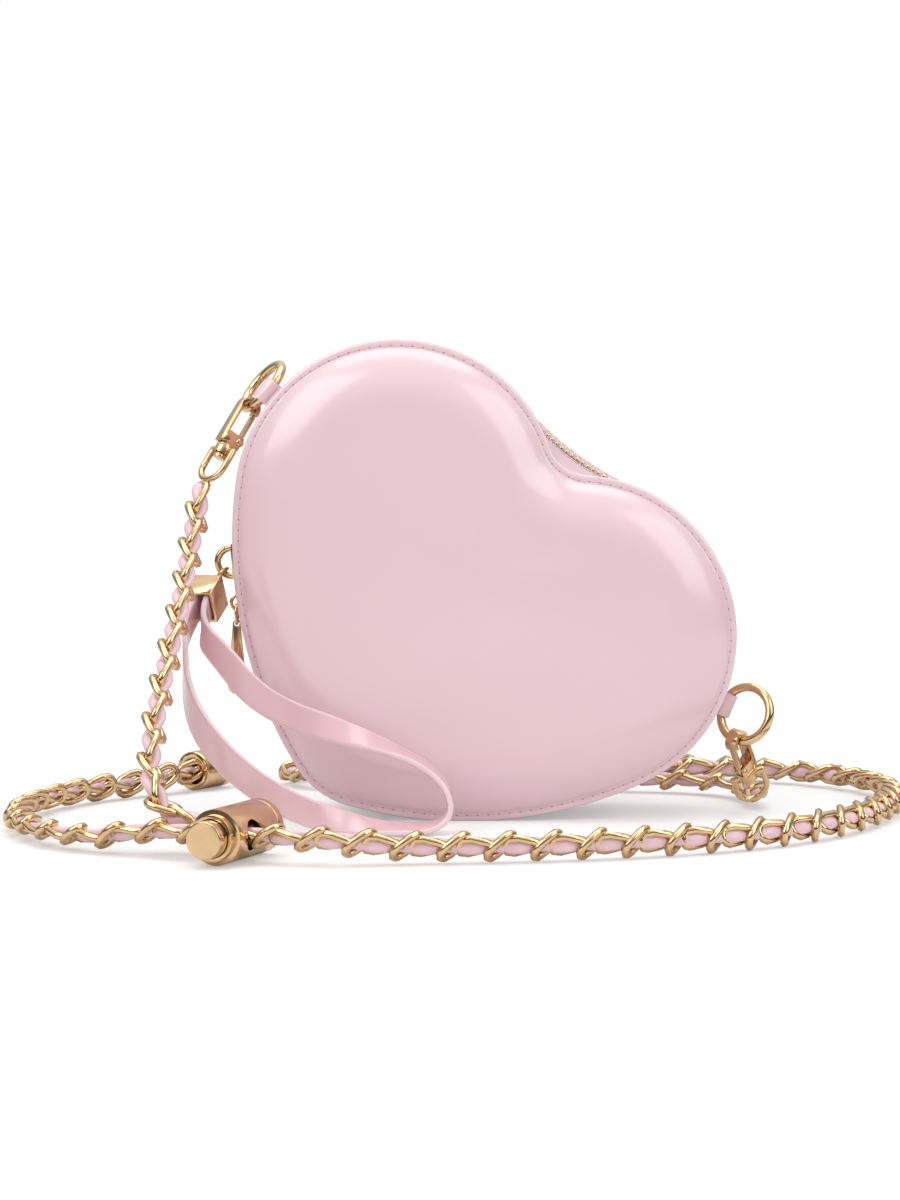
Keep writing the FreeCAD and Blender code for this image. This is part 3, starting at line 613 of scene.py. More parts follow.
def bisect_keep(piece: bpy.types.Object, height: float, above: bool) -> bpy.types.Object:
    """Cuts a piece level, keeps one side and closes the cut.

    Args:
        piece: the piece.
        height: height of the cut, in millimetres.
        above: whether the upper side is kept.

    Returns:
        The piece.
    """
    with edit_mode(piece):
        bpy.ops.mesh.bisect(
            plane_co=(0, 0, height * MM), plane_no=(0, 0, 1), use_fill=True,
            clear_inner=above, clear_outer=not above,
        )
    return piece


MERGE_DISTANCE = 0.00001
FLAT_ANGLE = math.radians(1.0)
ROUNDED_ANGLE = math.radians(40)
SMOOTH_ANGLE = math.radians(35)
ROUNDING_STEPS = 3


def refined(node: str, width: float) -> bpy.types.Object:
    """A copy of a node with its doubles merged and its sharp edges rounded.

    Args:
        node: name of the node.
        width: width of the rounding, in millimetres.

    Returns:
        The new piece, at the origin.
    """
    piece = bpy.data.objects.new(f"{node}_finished", FRAME["nodes"][node].data.copy())
    bpy.context.scene.collection.objects.link(piece)
    with edit_mode(piece):
        bpy.ops.mesh.remove_doubles(threshold=MERGE_DISTANCE)
        bpy.ops.mesh.dissolve_limited(angle_limit=FLAT_ANGLE)
    if width:
        rounding = piece.modifiers.new("rounding", "BEVEL")
        rounding.width = width * MM
        rounding.segments = ROUNDING_STEPS
        rounding.limit_method = "ANGLE"
        rounding.angle_limit = ROUNDED_ANGLE
        rounding.use_clamp_overlap = True
        bpy.ops.object.modifier_apply(modifier="rounding")
    bpy.ops.object.shade_smooth_by_angle(angle=SMOOTH_ANGLE)
    return piece


# Lines and directions
def unit(v: np.ndarray) -> np.ndarray:
    """Vectors of length one."""
    return v / np.linalg.norm(v, axis=-1, keepdims=True)


def heading(v: np.ndarray) -> float:
    """Angle of a flat vector."""
    return math.atan2(v[1], v[0])


def square_to(v: np.ndarray, along: np.ndarray) -> np.ndarray:
    """Vectors of length one, turned square to other directions."""
    return unit(v - along * (v * along).sum(axis=1, keepdims=True))


def away_from(v: np.ndarray, out: np.ndarray) -> np.ndarray:
    """Vectors turned round where they don't point the way that others do."""
    return v * np.sign((v * out).sum(axis=1, keepdims=True))


def nearest(line: np.ndarray, places: np.ndarray) -> np.ndarray:
    """Numbers of the line's points that lie nearest to some places."""
    return np.linalg.norm(line[None] - places[:, None], axis=2).argmin(axis=1)


def eased(share: np.ndarray, low: float, high: float) -> np.ndarray:
    """Values that ease from none to one between two shares."""
    part = np.clip((share - low) / (high - low), 0, 1)
    return part * part * (3 - 2 * part)


def run_along(line: np.ndarray) -> np.ndarray:
    """Distance of each point from the start of its line."""
    return np.concatenate([[0.0], np.cumsum(np.linalg.norm(np.diff(line, axis=0), axis=1))])


def points_at(line: np.ndarray, at: np.ndarray) -> np.ndarray:
    """Points of a line at distances from its start."""
    run = run_along(line)
    return np.stack([np.interp(at, run, line[:, k]) for k in range(3)], axis=1)


def resample(
    line: np.ndarray, step: float, margins: Pair = (0.0, 0.0), closed: bool = False
) -> tuple[np.ndarray, np.ndarray]:
    """Points at even steps along a line, near the step asked for, and the directions there.

    Args:
        line: points of the line.
        step: distance between the new points.
        margins: distances kept free at the start and the end of an open line.
        closed: whether the line runs back to its start.

    Returns:
        The new points and the line's directions.
    """
    if closed:
        line = np.vstack([line, line[:1]])
    length = run_along(line)[-1]
    count = round((length - sum(margins)) / step)
    at = np.linspace(margins[0], length - margins[1], count + 1)
    at = at[:count] if closed else at
    nudge = step / 4
    ahead = points_at(line, np.minimum(at + nudge, length))
    behind = points_at(line, np.maximum(at - nudge, 0.0))
    return points_at(line, at), unit(ahead - behind)


def spline_line(name: str, route: list[Point]) -> np.ndarray:
    """The smooth line of a route, as its curve gives it with no bevel.

    Args:
        name: name of the guide.
        route: its points, in millimetres.

    Returns:
        Points of the line, in metres.
    """
    curve = bpy.data.curves.new(name, "CURVE")
    curve.dimensions = "3D"
    spline = curve.splines.new("NURBS")
    spline.points.add(len(route) - 1)
    for point, place in zip(spline.points, route):
        point.co = (*(c * MM for c in place), 1.0)
    spline.order_u = 3
    spline.use_endpoint_u = True
    spline.resolution_u = 12
    guide = bpy.data.objects.new(name, curve)
    mesh = bpy.data.meshes.new_from_object(guide)
    line = np.array([tuple(v.co) for v in mesh.vertices])
    bpy.data.meshes.remove(mesh)
    bpy.data.objects.remove(guide)
    bpy.data.curves.remove(curve)
    return line


def frames(
    along: np.ndarray, start: np.ndarray, follow: bool
) -> tuple[np.ndarray, np.ndarray, np.ndarray]:
    """Directions across a line that turn as little as they can, or roll as the line turns round.

    Args:
        along: the line's directions.
        start: the direction that the first normal leans towards.
        follow: whether the normals roll with the line's heading.

    Returns:
        The normals, the directions across them and the angles that they roll by.
    """
    normal = start - along[0] * np.dot(start, along[0])
    normals = []
    for direction in along:
        normal = unit(normal - direction * np.dot(normal, direction))
        normals.append(normal)
    normals = np.array(normals)
    across = np.cross(along, normals)
    turn = np.unwrap(np.arctan2(along[:, 1], along[:, 0])) * follow
    c, s = np.cos(turn)[:, None], np.sin(turn)[:, None]
    return normals * c + across * s, across * c - normals * s, turn


@dataclass(frozen=True)
class Heart:
    """The outline of the heart, in millimetres, as six tangent arcs, turned by its tilt."""

    lobe_radius: float = 57.0
    lobe_offset: float = 39.2
    flank_radius: float = 153.0
    tip_radius: float = 30.0
    tip_depth: float = 68.0
    notch_radius: float = 14.5
    zip_notch_radius: float = 120.0
    tilt: float = 37.1
    rest_flat: float = 0.4
    flat_rim: float = 2.0
    half_width: float = 22.0
    crest: float = 6.0
    counts: tuple[int, ...] = (40, 72, 40, 28, 40, 72)

    def flank_centre(self) -> np.ndarray:
        """Finds the centre of the upright heart's right flank.

        Returns:
            Its X and Z.
        """
        lobe, tip = np.array([self.lobe_offset, 0.0]), np.array([0.0, -self.tip_depth])
        reach = self.flank_radius - self.lobe_radius
        tip_reach = self.flank_radius - self.tip_radius
        span = np.linalg.norm(tip - lobe)
        line = (tip - lobe) / span
        along = (span**2 + reach**2 - tip_reach**2) / (2 * span)
        off = math.sqrt(reach**2 - along**2)
        return lobe + line * along + np.array([line[1], -line[0]]) * off

    def spin(self, points: np.ndarray) -> np.ndarray:
        """Turns the upright heart by its tilt and sets it on the floor.

        Args:
            points: X and Z of its points.

        Returns:
            X and Z of the turned points.
        """
        c, s = math.cos(math.radians(self.tilt)), math.sin(math.radians(self.tilt))
        matrix = np.array([[c, -s], [s, c]])
        low = self.flank_centre() @ matrix
        return points @ matrix + np.array([-low[0], self.flank_radius - low[1] - self.rest_flat])

    def outline(self, inset: float, notch: float) -> np.ndarray:
        """Points of the outline, drawn in by inset, from the notch clockwise.

        Args:
            inset: distance inside the outer edge.
            notch: radius of the notch at the outer edge.

        Returns:
            X and Z of each point.
        """
        lobe, tip = np.array([self.lobe_offset, 0.0]), np.array([0.0, -self.tip_depth])
        flank = self.flank_centre()
        dip_height = math.sqrt((self.lobe_radius + notch) ** 2 - self.lobe_offset**2)
        dip = np.array([0.0, dip_height])
        n, s = heading(lobe - dip), heading(dip - lobe)
        e, f = heading(lobe - flank), heading(tip - flank)
        other_lobe, other_flank = lobe * [-1, 1], flank * [-1, 1]
        arcs = [
            (dip, notch + inset, -math.pi - n, n),
            (lobe, self.lobe_radius - inset, s, e),
            (flank, self.flank_radius - inset, e, f),
            (tip, self.tip_radius - inset, f, -math.pi - f),
            (other_flank, self.flank_radius - inset, -math.pi - f, -math.pi - e),
            (other_lobe, self.lobe_radius - inset, math.pi - e, math.pi - s),
        ]
        points = []
        for (centre, radius, start, end), count in zip(arcs, self.counts):
            turn = start + (end - start) * np.arange(count) / count
            points.append(centre + radius * np.stack([np.cos(turn), np.sin(turn)], axis=1))
        return self.spin(np.concatenate(points))

    def ring(self, inset: float, y: float, bridged: bool = True) -> np.ndarray:
        """A ring of points at one depth.

        Args:
            inset: distance inside the outer edge.
            y: the depth, in millimetres.
            bridged: whether the zip spans the notch there.

        Returns:
            The points, in metres.
        """
        edge = self.outline(inset, self.notch_radius)
        if bridged:
            side = 1 if y > self.crest else -1
            share = min(1.0, abs(y - self.crest) / (self.half_width - side * self.crest))
            edge = edge * share + self.outline(inset, self.zip_notch_radius) * (1 - share)
        height = np.maximum(edge[:, 1], 0.0) if inset < self.flat_rim else edge[:, 1]
        return np.stack([edge[:, 0], np.full(len(edge), y), height], axis=1) * MM

    def outward(self) -> np.ndarray:
        """Directions away from the middle of the heart, one for each point of a ring.

        Returns:
            The directions.
        """
        outer, inner = (self.outline(inset, self.notch_radius) for inset in (1.0, 2.0))
        away = unit(outer - inner)
        return np.stack([away[:, 0], np.zeros(len(away)), away[:, 1]], axis=1)


HEART = Heart()
COUNT = sum(HEART.counts)
PUCKER_SEEDS = {Side.FRONT: 7, Side.BACK: 11}


@dataclass
class Body:
    """The padded heart: two panels with stitched rims, the gusset and their linings."""

    skin: float = 1.2
    dome_start: float = 3.0
    run: float = 21.0
    swell: float = 10.0
    dome_powers: Pair = (2.1, 0.84)
    dome_steps: int = 22
    dome_spread: float = 1.6
    crown: float = 2.4
    crown_shares: tuple[float, ...] = (0.95, 0.88, 0.79, 0.69, 0.58, 0.46, 0.33, 0.2, 0.09)
    lap: float = 0.6
    least_lap: float = 0.05
    rim: tuple[Pair, ...] = (
        (1.2, 0.0), (0.35, 0.06), (0.0, 0.3), (0.12, 0.62), (0.55, 0.88), (1.2, 1.04),
    )
    crease: tuple[Pair, ...] = ((-0.3, 1.1), (0.0, 1.08))
    pucker_waves: tuple[int, ...] = (5, 9, 14, 23, 31)
    pucker_depth: float = 0.05
    pucker_rise: float = 3.0
    pucker_fade: float = 12.0
    fill: float = 0.85
    stitch_inset: float = 2.2
    stitch_pitch: float = 3.75
    stitch_sink: float = 0.14
    thread: Point = (2.7, 0.6, 0.44)
    hole: Point = (0.95, 0.55, 0.3)
    gusset_skin: float = 1.4
    gusset_edge: tuple[Pair, ...] = ((0.0, 0.5), (0.4, 0.1), (1.0, 0.0), (6.0, 0.15))
    mouth_height: float = 66.0
    seam_gap: float = 0.15
    fold: Pair = (60.0, 78.0)
    inside_rounding: float = 0.2

    def dome(self, inset: float) -> float:
        """Height of the swell over the gusset's edge.

        Args:
            inset: distance inside the outer edge, in millimetres.

        Returns:
            The height, in millimetres.
        """
        share = min(1.0, max(0.0, (inset - self.dome_start) / self.run))
        first, second = self.dome_powers
        return self.skin + (self.swell - self.skin) * (1 - (1 - share) ** first) ** second

    def panel_profile(self) -> list[Pair]:
        """The panel's section: inner face, rim's back, edge and face, then the swell.

        Returns:
            Inset and height over the gusset's edge of each point.
        """
        steps = self.dome_start + self.run * np.linspace(0, 1, self.dome_steps) ** self.dome_spread
        inner = [(i, max(self.least_lap, self.dome(i) - self.lap)) for i in steps[:2:-2]]
        edge = [(self.dome_start + self.lap, 0.0), *self.rim]
        edge += [(self.stitch_inset + shift, height) for shift, height in self.crease]
        return inner + edge + [(inset, self.dome(inset)) for inset in steps]

    def panel(self, side: Side) -> bpy.types.Object:
        """One padded panel: a closed shell with a rounded rim, a sewn crease and a crowned swell.

        Args:
            side: the front or the back of the heart.

        Returns:
            The panel.
        """
        seed = np.random.default_rng(PUCKER_SEEDS[side])
        waves = [
            (k, seed.uniform(0, 2 * math.pi), seed.uniform(0.4, 1.0)) for k in self.pucker_waves
        ]
        around = np.arange(COUNT) / COUNT * 2 * math.pi
        pucker = sum(size * np.sin(k * around + phase) for k, phase, size in waves)
        rings = []
        for inset, height in self.panel_profile():
            ring = HEART.ring(inset, side.value * HEART.half_width, bridged=False)
            past = inset - self.dome_start
            rise = max(0.0, min(1.0, past / self.pucker_rise))
            rise *= max(0.0, 1 - past / self.pucker_fade)
            ring[:, 1] += side.value * (height + self.pucker_depth * rise * pucker) * MM
            rings.append(ring)
        shares = self.crown_shares
        outer = [self.crowned(rings[-1], share, side) for share in shares]
        inner = [self.crowned(rings[0], share, side) for share in reversed(shares[1::2])]
        poles = [self.crowned(edge, 0.0, side)[:1] for edge in (rings[0], rings[-1])]
        rings = inner + rings + outer
        points = np.concatenate(rings + poles)
        faces = ring_faces(len(rings), COUNT)
        last = (len(rings) - 1) * COUNT
        for first, pole in ((0, len(points) - 2), (last, len(points) - 1)):
            faces += [(first + k, first + (k + 1) % COUNT, pole) for k in range(COUNT)]
        piece = mesh_piece(f"{side.label}_padded_panel", points, faces)
        return piece

    def crowned(self, edge: np.ndarray, share: float, side: Side) -> np.ndarray:
        """A ring drawn in towards the middle of the panel and raised onto its crown.

        Args:
            edge: the ring that it is drawn in from.
            share: its size, as a share of that ring's.
            side: the front or the back of the heart.

        Returns:
            The ring's points.
        """
        ring = edge.mean(axis=0) + (edge - edge.mean(axis=0)) * share
        ring[:, 1] += side.value * self.crown * (1 - share**2) ** 2 * MM
        return ring

    def stitches(
        self,
        name: str,
        line: np.ndarray,
        normal: np.ndarray,
        body: Rides | None,
        above: float = 0.0,
    ) -> list[bpy.types.Object]:
        """A row of stitches along a closed line, and dark dots of painted shade for the needle
        holes between them.

        Args:
            name: name of the row.
            line: points of the row, on the surface.
            normal: the surface's outward direction at each point.
            body: the body that the row rides on, or none where it bends.
            above: height over which the row is kept.

        Returns:
            The threads and the dots of painted shade at the holes.
        """
        places, along = resample(line, self.stitch_pitch * MM, closed=True)
        normals = normal[nearest(line, places)]
        across = unit(np.cross(normals, along))
        kept = np.nonzero(places[:, 2] > above * MM)[0]
        bases = [np.stack([along[k], across[k], normals[k]]) for k in kept]
        half_step = along * self.stitch_pitch / 2 * MM
        pieces = []
        # The hole dots are painted shade: a dark colour set where the needle holes lie in shadow
        for part, sizes, finish, spots in (
            ("thread", self.thread, THREAD, places), ("holes", self.hole, HOLE_SHADE, places + half_step)
        ):
            shape = bead(radius=0.5, stretch=sizes, segments=6, rings=5)
            row = repeat(f"{name}_{part}", shape, spots[kept], bases)
            pieces.append(dress(row, finish, body))
        return pieces

    def rim_stitches(self, side: Side) -> list[bpy.types.Object]:
        """The stitches that sew a panel's rim to the gusset.

        Args:
            side: the front or the back of the heart.

        Returns:
            The threads and the dots of painted shade at the holes.
        """
        y = side.value * (HEART.half_width + self.skin - self.stitch_sink)
        line = HEART.ring(self.stitch_inset, y, bridged=False)
        normal = np.tile([0.0, float(side.value), 0.0], (len(line), 1))
        return self.stitches(f"{side.label}_rim", line, normal, side.body)

    def sweep(self, name: str, profile: list[Pair]) -> bpy.types.Object:
        """A strip round the heart with a closed profile of depth and inset."""
        rings = [HEART.ring(inset, y) for y, inset in profile]
        return mesh_piece(name, np.concatenate(rings), ring_faces(len(rings), COUNT, closed=True))

    def gusset(self) -> bpy.types.Object:
        """The lower gusset, one piece of leather from rim to rim.

        Returns:
            The gusset, cut off under the zip.
        """
        half, skin = HEART.half_width, self.gusset_skin
        profile = [(-half + into, inset) for into, inset in self.gusset_edge] + [(0.0, 0.0)]
        profile += [(half - into, inset) for into, inset in reversed(self.gusset_edge)]
        profile += [(half, skin), (0.0, skin), (-half, skin)]
        piece = self.sweep("lower_gusset_leather", profile)
        return bisect_keep(piece, self.mouth_height - self.seam_gap, above=False)

    def bend(self, piece: bpy.types.Object) -> None:
        """Hands a piece of the back to a Bend over the mouth's fold, which only bakes its
        placement.
        """
        low, high = ((0, HEART.half_width * MM, height * MM) for height in self.fold)
        Bend(Rides.MOUTH, low, high).apply(piece)

    def build(self) -> None:
        """Builds and dresses the panels, the gusset and what lies inside."""
        dress(self.panel(Side.FRONT), PATENT, Rides.BAG, ("front_panel",))
        back = self.panel(Side.BACK)
        dress(back, PATENT, None, ("back_panel_lower", "back_panel_upper"))
        self.rim_stitches(Side.FRONT)
        for piece in (back, *self.rim_stitches(Side.BACK)):
            self.bend(piece)
        dress(self.gusset(), PATENT, Rides.BAG, ("lower_gusset",))
        inside = []
        for part, finish in (("board", BOARD), ("lining", LINING)):
            inside += [
                (f"front_{part}", finish, Rides.BAG, part),
                (f"back_{part}_lower", finish, Rides.BAG, part),
                (f"back_{part}_upper", finish, Rides.MOUTH, part),
            ]
        inside.append(("gusset_lining", LINING, Rides.BAG, "lining"))
        for node, finish, body, slot in inside:
            dress(refined(node, self.inside_rounding), finish, body, (node,))


@dataclass
class Zip:
    """The zip along the upper gusset: strips, tapes, teeth and their stitches."""

    body: Body
    slot: float = 7.0
    skin: float = 1.4
    strip_edge: tuple[Pair, ...] = ((0.0, 0.5), (0.4, 0.1), (1.0, 0.0), (6.0, 0.12))
    strip_fold: tuple[Pair, ...] = (
        (4.0, 0.05), (2.1, 0.16), (1.5, 0.0), (0.5, 0.0), (0.1, 0.3), (0.0, 0.75),
    )
    strip_turn: float = 0.2
    tooth_pitch: float = 2.3
    tooth_size: Point = (1.25, 2.2, 2.0)
    tooth_rounding: float = 0.28
    tooth_inset: float = 0.7
    tooth_offset: float = 0.75
    tape_inset: Pair = (0.8, 1.4)
    tape: Pair = (1.4, 10.3)
    tape_bead: Pair = (1.2, 0.1)
    stitch_line: float = 5.6
    stitch_gap: float = 1.0
    stop_gap: float = 2.5

    def kept(self, name: str, profile: list[Pair]) -> bpy.types.Object:
        """A strip of the zip round the heart, kept above the lower gusset."""
        piece = self.body.sweep(name, profile)
        return bisect_keep(piece, self.body.mouth_height + self.body.seam_gap, above=True)

    def strip(self, side: Side) -> bpy.types.Object:
        """The leather strip between a rim and the zip, folded under at the zip.

        Args:
            side: the front or the back of the heart.

        Returns:
            The strip.
        """
        near, half, s = self.slot / 2, HEART.half_width, side.value
        profile = [(half - into, inset) for into, inset in self.strip_edge]
        profile += [(near + out, inset) for out, inset in self.strip_fold]
        profile += [(near + self.strip_turn, self.skin), (half, self.skin)]
        return self.kept(f"{side.label}_zip_strip", [(s * y, inset) for y, inset in profile])

    def tape_band(self, side: Side) -> bpy.types.Object:
        """The woven tape that carries a row of teeth.

        Args:
            side: the front or the back of the heart.

        Returns:
            The tape.
        """
        (top, base), (near, far), s = self.tape_inset, self.tape, side.value
        out, lift = self.tape_bead
        profile = [(near, top), (near + out, top - lift), (far, top), (far, base), (near, base)]
        return self.kept(f"{side.label}_zip_tape", [(s * y, inset) for y, inset in profile])

    def tooth(self) -> Shape:
        """One metal tooth: a clamped block with a rounded head.

        Returns:
            Its points, in metres, and its faces.
        """
        deselect()
        bpy.ops.mesh.primitive_cube_add(size=1.0)
        block = bpy.context.object
        with edit_mode(block):
            bpy.ops.transform.resize(value=tuple(size * MM for size in self.tooth_size))
            bpy.ops.mesh.bevel(offset=self.tooth_rounding * MM, segments=2, affect="EDGES")
        return template(block)

    def row(self, side: Side) -> bpy.types.Object:
        """A row of teeth, set half a step on from the other row.

        Args:
            side: the front or the back of the heart.

        Returns:
            The row.
        """
        shape = self.tooth()
        line = HEART.ring(self.tooth_inset, side.value * self.tooth_offset)
        places, along = resample(line, self.tooth_pitch * MM, closed=True)
        if side is Side.BACK:
            places = (places + np.roll(places, -1, axis=0)) / 2
        across = np.tile([0.0, 1.0, 0.0], (len(places), 1))
        out = away_from(unit(np.cross(along, across)), HEART.outward()[nearest(line, places)])
        lowest = (self.body.mouth_height + self.stop_gap) * MM
        kept = np.nonzero(places[:, 2] > lowest)[0]
        bases = [np.stack([along[k], across[k], out[k]]) for k in kept]
        return repeat(f"{side.label}_zip_teeth", shape, places[kept], bases)

    def strip_stitches(self, side: Side) -> list[bpy.types.Object]:
        """The stitches that hold a tape under its strip.

        Args:
            side: the front or the back of the heart.

        Returns:
            The threads and the holes.
        """
        line = HEART.ring(0.0, side.value * self.stitch_line)
        tangent = unit(np.roll(line, -1, axis=0) - np.roll(line, 1, axis=0))
        normal = unit(np.cross(tangent, [0.0, 1.0, 0.0]))
        normal = away_from(normal, line - line.mean(axis=0))
        lowest = self.body.mouth_height + self.stitch_gap
        return self.body.stitches(f"{side.label}_zip", line, normal, side.body, lowest)

    def build(self) -> None:
        """Builds both sides of the zip and dresses them."""
        for side in Side:
            pieces = [
                dress(make(side), finish, side.body, (f"zip_{part}_{side.label}",))
                for part, make, finish, slot in (
                    ("strip", self.strip, ZIP_PATENT, "patent"),
                    ("tape", self.tape_band, TAPE, "tape"),
                    ("teeth", self.row, TOOTH_GOLD, "metal"),
                )
            ]
            pieces += self.strip_stitches(side)
            if side is Side.BACK:
                for piece in pieces:
                    self.body.bend(piece)
        paint("zip_stops", GOLD)


@dataclass(frozen=True)
class GatePin:
    """The pin of a clasp's gate: its middle, in millimetres, its direction and its body."""

    side: str
    middle: Point
    axis: Point
    body: Rides


@dataclass
class Hardware:
    """The metal fittings, as softened copies of the frame's solids, and the strap tabs."""

    clasp_fittings: tuple[tuple[str, float, Rides, Rides], ...] = (
        ("ring", 0.0, Rides.LEFT_RING, Rides.RIGHT_RING),
        ("hook", 0.35, Rides.LEFT_RING, Rides.RIGHT_RING),
        ("gate", 0.25, Rides.LEFT_GATE, Rides.RIGHT_GATE),
        ("gate_pin", 0.1, Rides.LEFT_RING, Rides.RIGHT_RING),
        ("swivel_eye", 0.25, Rides.LEFT_EYE, Rides.RIGHT_EYE),
    )
    fittings: tuple[tuple[str, float, Rides], ...] = (
        ("zip_slider", 0.3, Rides.SLIDER), ("pull_ring", 0.0, Rides.PULL),
        ("pull_charm", 0.6, Rides.PULL), ("wrist_staple", 0.25, Rides.BAG),
        ("wrist_link", 0.0, Rides.WRISTLET), ("wrist_lug", 0.0, Rides.WRISTLET),
        ("wrist_clamp", 0.5, Rides.WRISTLET), ("clamp_screw", 0.15, Rides.WRISTLET),
        ("stopper_barrel", 0.4, Rides.STOPPER), ("stopper_cap", 0.6, Rides.STOPPER),
        ("stopper_button", 0.4, Rides.BUTTON), ("end_cup", 0.5, Rides.BAG),
    )
    tab_rounding: float = 0.2
    pins: tuple[GatePin, ...] = (
        GatePin(
            "left", (-80.5476, -11.9025, 132.9078), (-0.4842, 0.8714, -0.0786), Rides.LEFT_RING
        ),
        GatePin(
            "right", (99.0274, -6.3514, 15.5538), (0.7547, -0.6239, -0.2030), Rides.RIGHT_RING
        ),
    )
    rivet_reach: float = 2.2
    rivet_radius: float = 1.5
    rivet_height: float = 0.45

    def build(self) -> None:
        """Builds every fitting."""
        plan = [
            (f"{side}_{part}", width, body)
            for part, width, left, right in self.clasp_fittings
            for side, body in (("left", left), ("right", right))
        ]
        for node, width, body in (*plan, *self.fittings):
            dress(refined(node, width), GOLD, body, (node,))
        for node in ("left_tab", "right_tab"):
            dress(refined(node, self.tab_rounding), PATENT, Rides.BAG, (node,))
        paint("stopper_spring", GOLD)
        for pin in self.pins:
            self.rivets(pin)

    def rivets(self, pin: GatePin) -> None:
        """The two domed heads of a gate's pin.

        Args:
            pin: the pin.
        """
        shape = bead(self.rivet_radius, (1, 1, self.rivet_height), segments=16, rings=8)
        out = unit(np.array(pin.axis))
        flat = unit(np.cross(out, UP))
        places = [(np.array(pin.middle) + end * self.rivet_reach * out) * MM for end in (-1, 1)]
        base = np.stack([flat, np.cross(out, flat), out])
        heads = repeat(f"{pin.side}_rivet_heads", shape, places, [base, base])
        dress(heads, GOLD, pin.body)


# Routes of the cords, in millimetres, as the solids have them; only the main one's first point
# differs, so that its first link meets the clasp's eye
LEFT_ROUTE = [
    (-91.98, -19.61, 118.30), (-94.6, -27.5, 103.0), (-96.2, -44.0, 83.5), (-99.2, -62.0, 63.0),
    (-101.9, -78.0, 44.6), (-103.0, -90.0, 29.0), (-100.6, -98.4, 17.4), (-91.5, -99.5, 9.8),
    (-78.9, -104.1, 8.8),
]
MAIN_ROUTE = [
    (107.1, 7.5, 4.7), (108.0, 27.0, 5.3), (101.0, 44.0, 5.3), (84.0, 55.0, 5.3),
    (56.0, 59.5, 5.3), (22.0, 60.0, 5.3), (-12.0, 58.0, 5.3), (-42.0, 60.0, 5.3),
    (-62.0, 68.5, 5.3), (-70.0, 84.0, 5.3), (-62.0, 99.0, 5.3), (-42.0, 105.0, 5.3),
    (-10.0, 105.5, 5.3), (24.0, 106.5, 5.3), (58.0, 105.0, 5.3), (90.0, 100.5, 5.3),
    (116.0, 92.0, 5.3), (137.0, 79.0, 5.3), (152.0, 60.0, 5.3), (159.0, 36.0, 5.3),
    (158.0, 10.0, 5.3), (150.0, -18.0, 5.3), (138.0, -45.0, 5.3), (121.0, -70.0, 5.3),
    (97.0, -91.0, 5.3), (69.0, -106.0, 5.3), (38.0, -116.0, 5.3), (7.0, -121.5, 5.3),
    (-22.0, -124.5, 5.7), (-46.7, -128.85, 8.8), (-74.41, -117.37, 8.8),
]
TAIL_ROUTE = [
    (-74.41, -117.37, 8.8), (-102.13, -105.89, 8.8), (-116.0, -101.5, 5.4), (-132.0, -91.0, 5.3),
    (-146.0, -72.0, 5.3), (-154.0, -48.0, 5.3), (-156.0, -22.0, 5.3), (-150.0, 4.0, 5.3),
    (-137.5, 27.0, 5.3), (-121.0, 45.0, 5.5), (-110.39, 51.54, 7.6), (-98.61, 72.46, 7.6),
]
STRAP_ROUTE = [
    (-91.87, -18.68, 79.70), (-97.05, -35.89, 69.33), (-95.6, -47.0, 60.0), (-94.4, -56.0, 49.0),
    (-90.0, -63.0, 38.5), (-82.4, -67.0, 28.5), (-71.0, -69.0, 18.5), (-56.0, -68.0, 9.6),
    (-39.0, -64.5, 4.2), (-22.0, -60.0, 2.2), (-11.5, -56.5, 2.0), (-5.0, -54.0, 6.0),
    (-5.5, -51.5, 15.0), (-12.5, -49.5, 22.5), (-26.0, -47.5, 28.6), (-43.0, -46.0, 33.8),
    (-59.5, -46.5, 39.0), (-73.0, -47.0, 47.0), (-82.5, -44.0, 58.5), (-93.22, -37.04, 69.33),
    (-88.04, -19.83, 79.70),
]

# Where cords go over from the bag to what they hang on, in metres
LEFT_BEND = Bend(Rides.LEFT_RING, (-0.0958, -0.04, 0.088), (-0.092, -0.0196, 0.1183))
STOPPER_BEND = Bend(Rides.STOPPER, (-0.1019, -0.078, 0.0446), (-0.0789, -0.1041, 0.0088))
RIGHT_BEND = Bend(Rides.RIGHT_RING, (0.068, 0.0575, 0.0047), (0.108, 0.0106, 0.0047))
WRIST_BEND = Bend(Rides.WRISTLET, (-0.0944, -0.056, 0.049), (-0.095, -0.034, 0.0705))


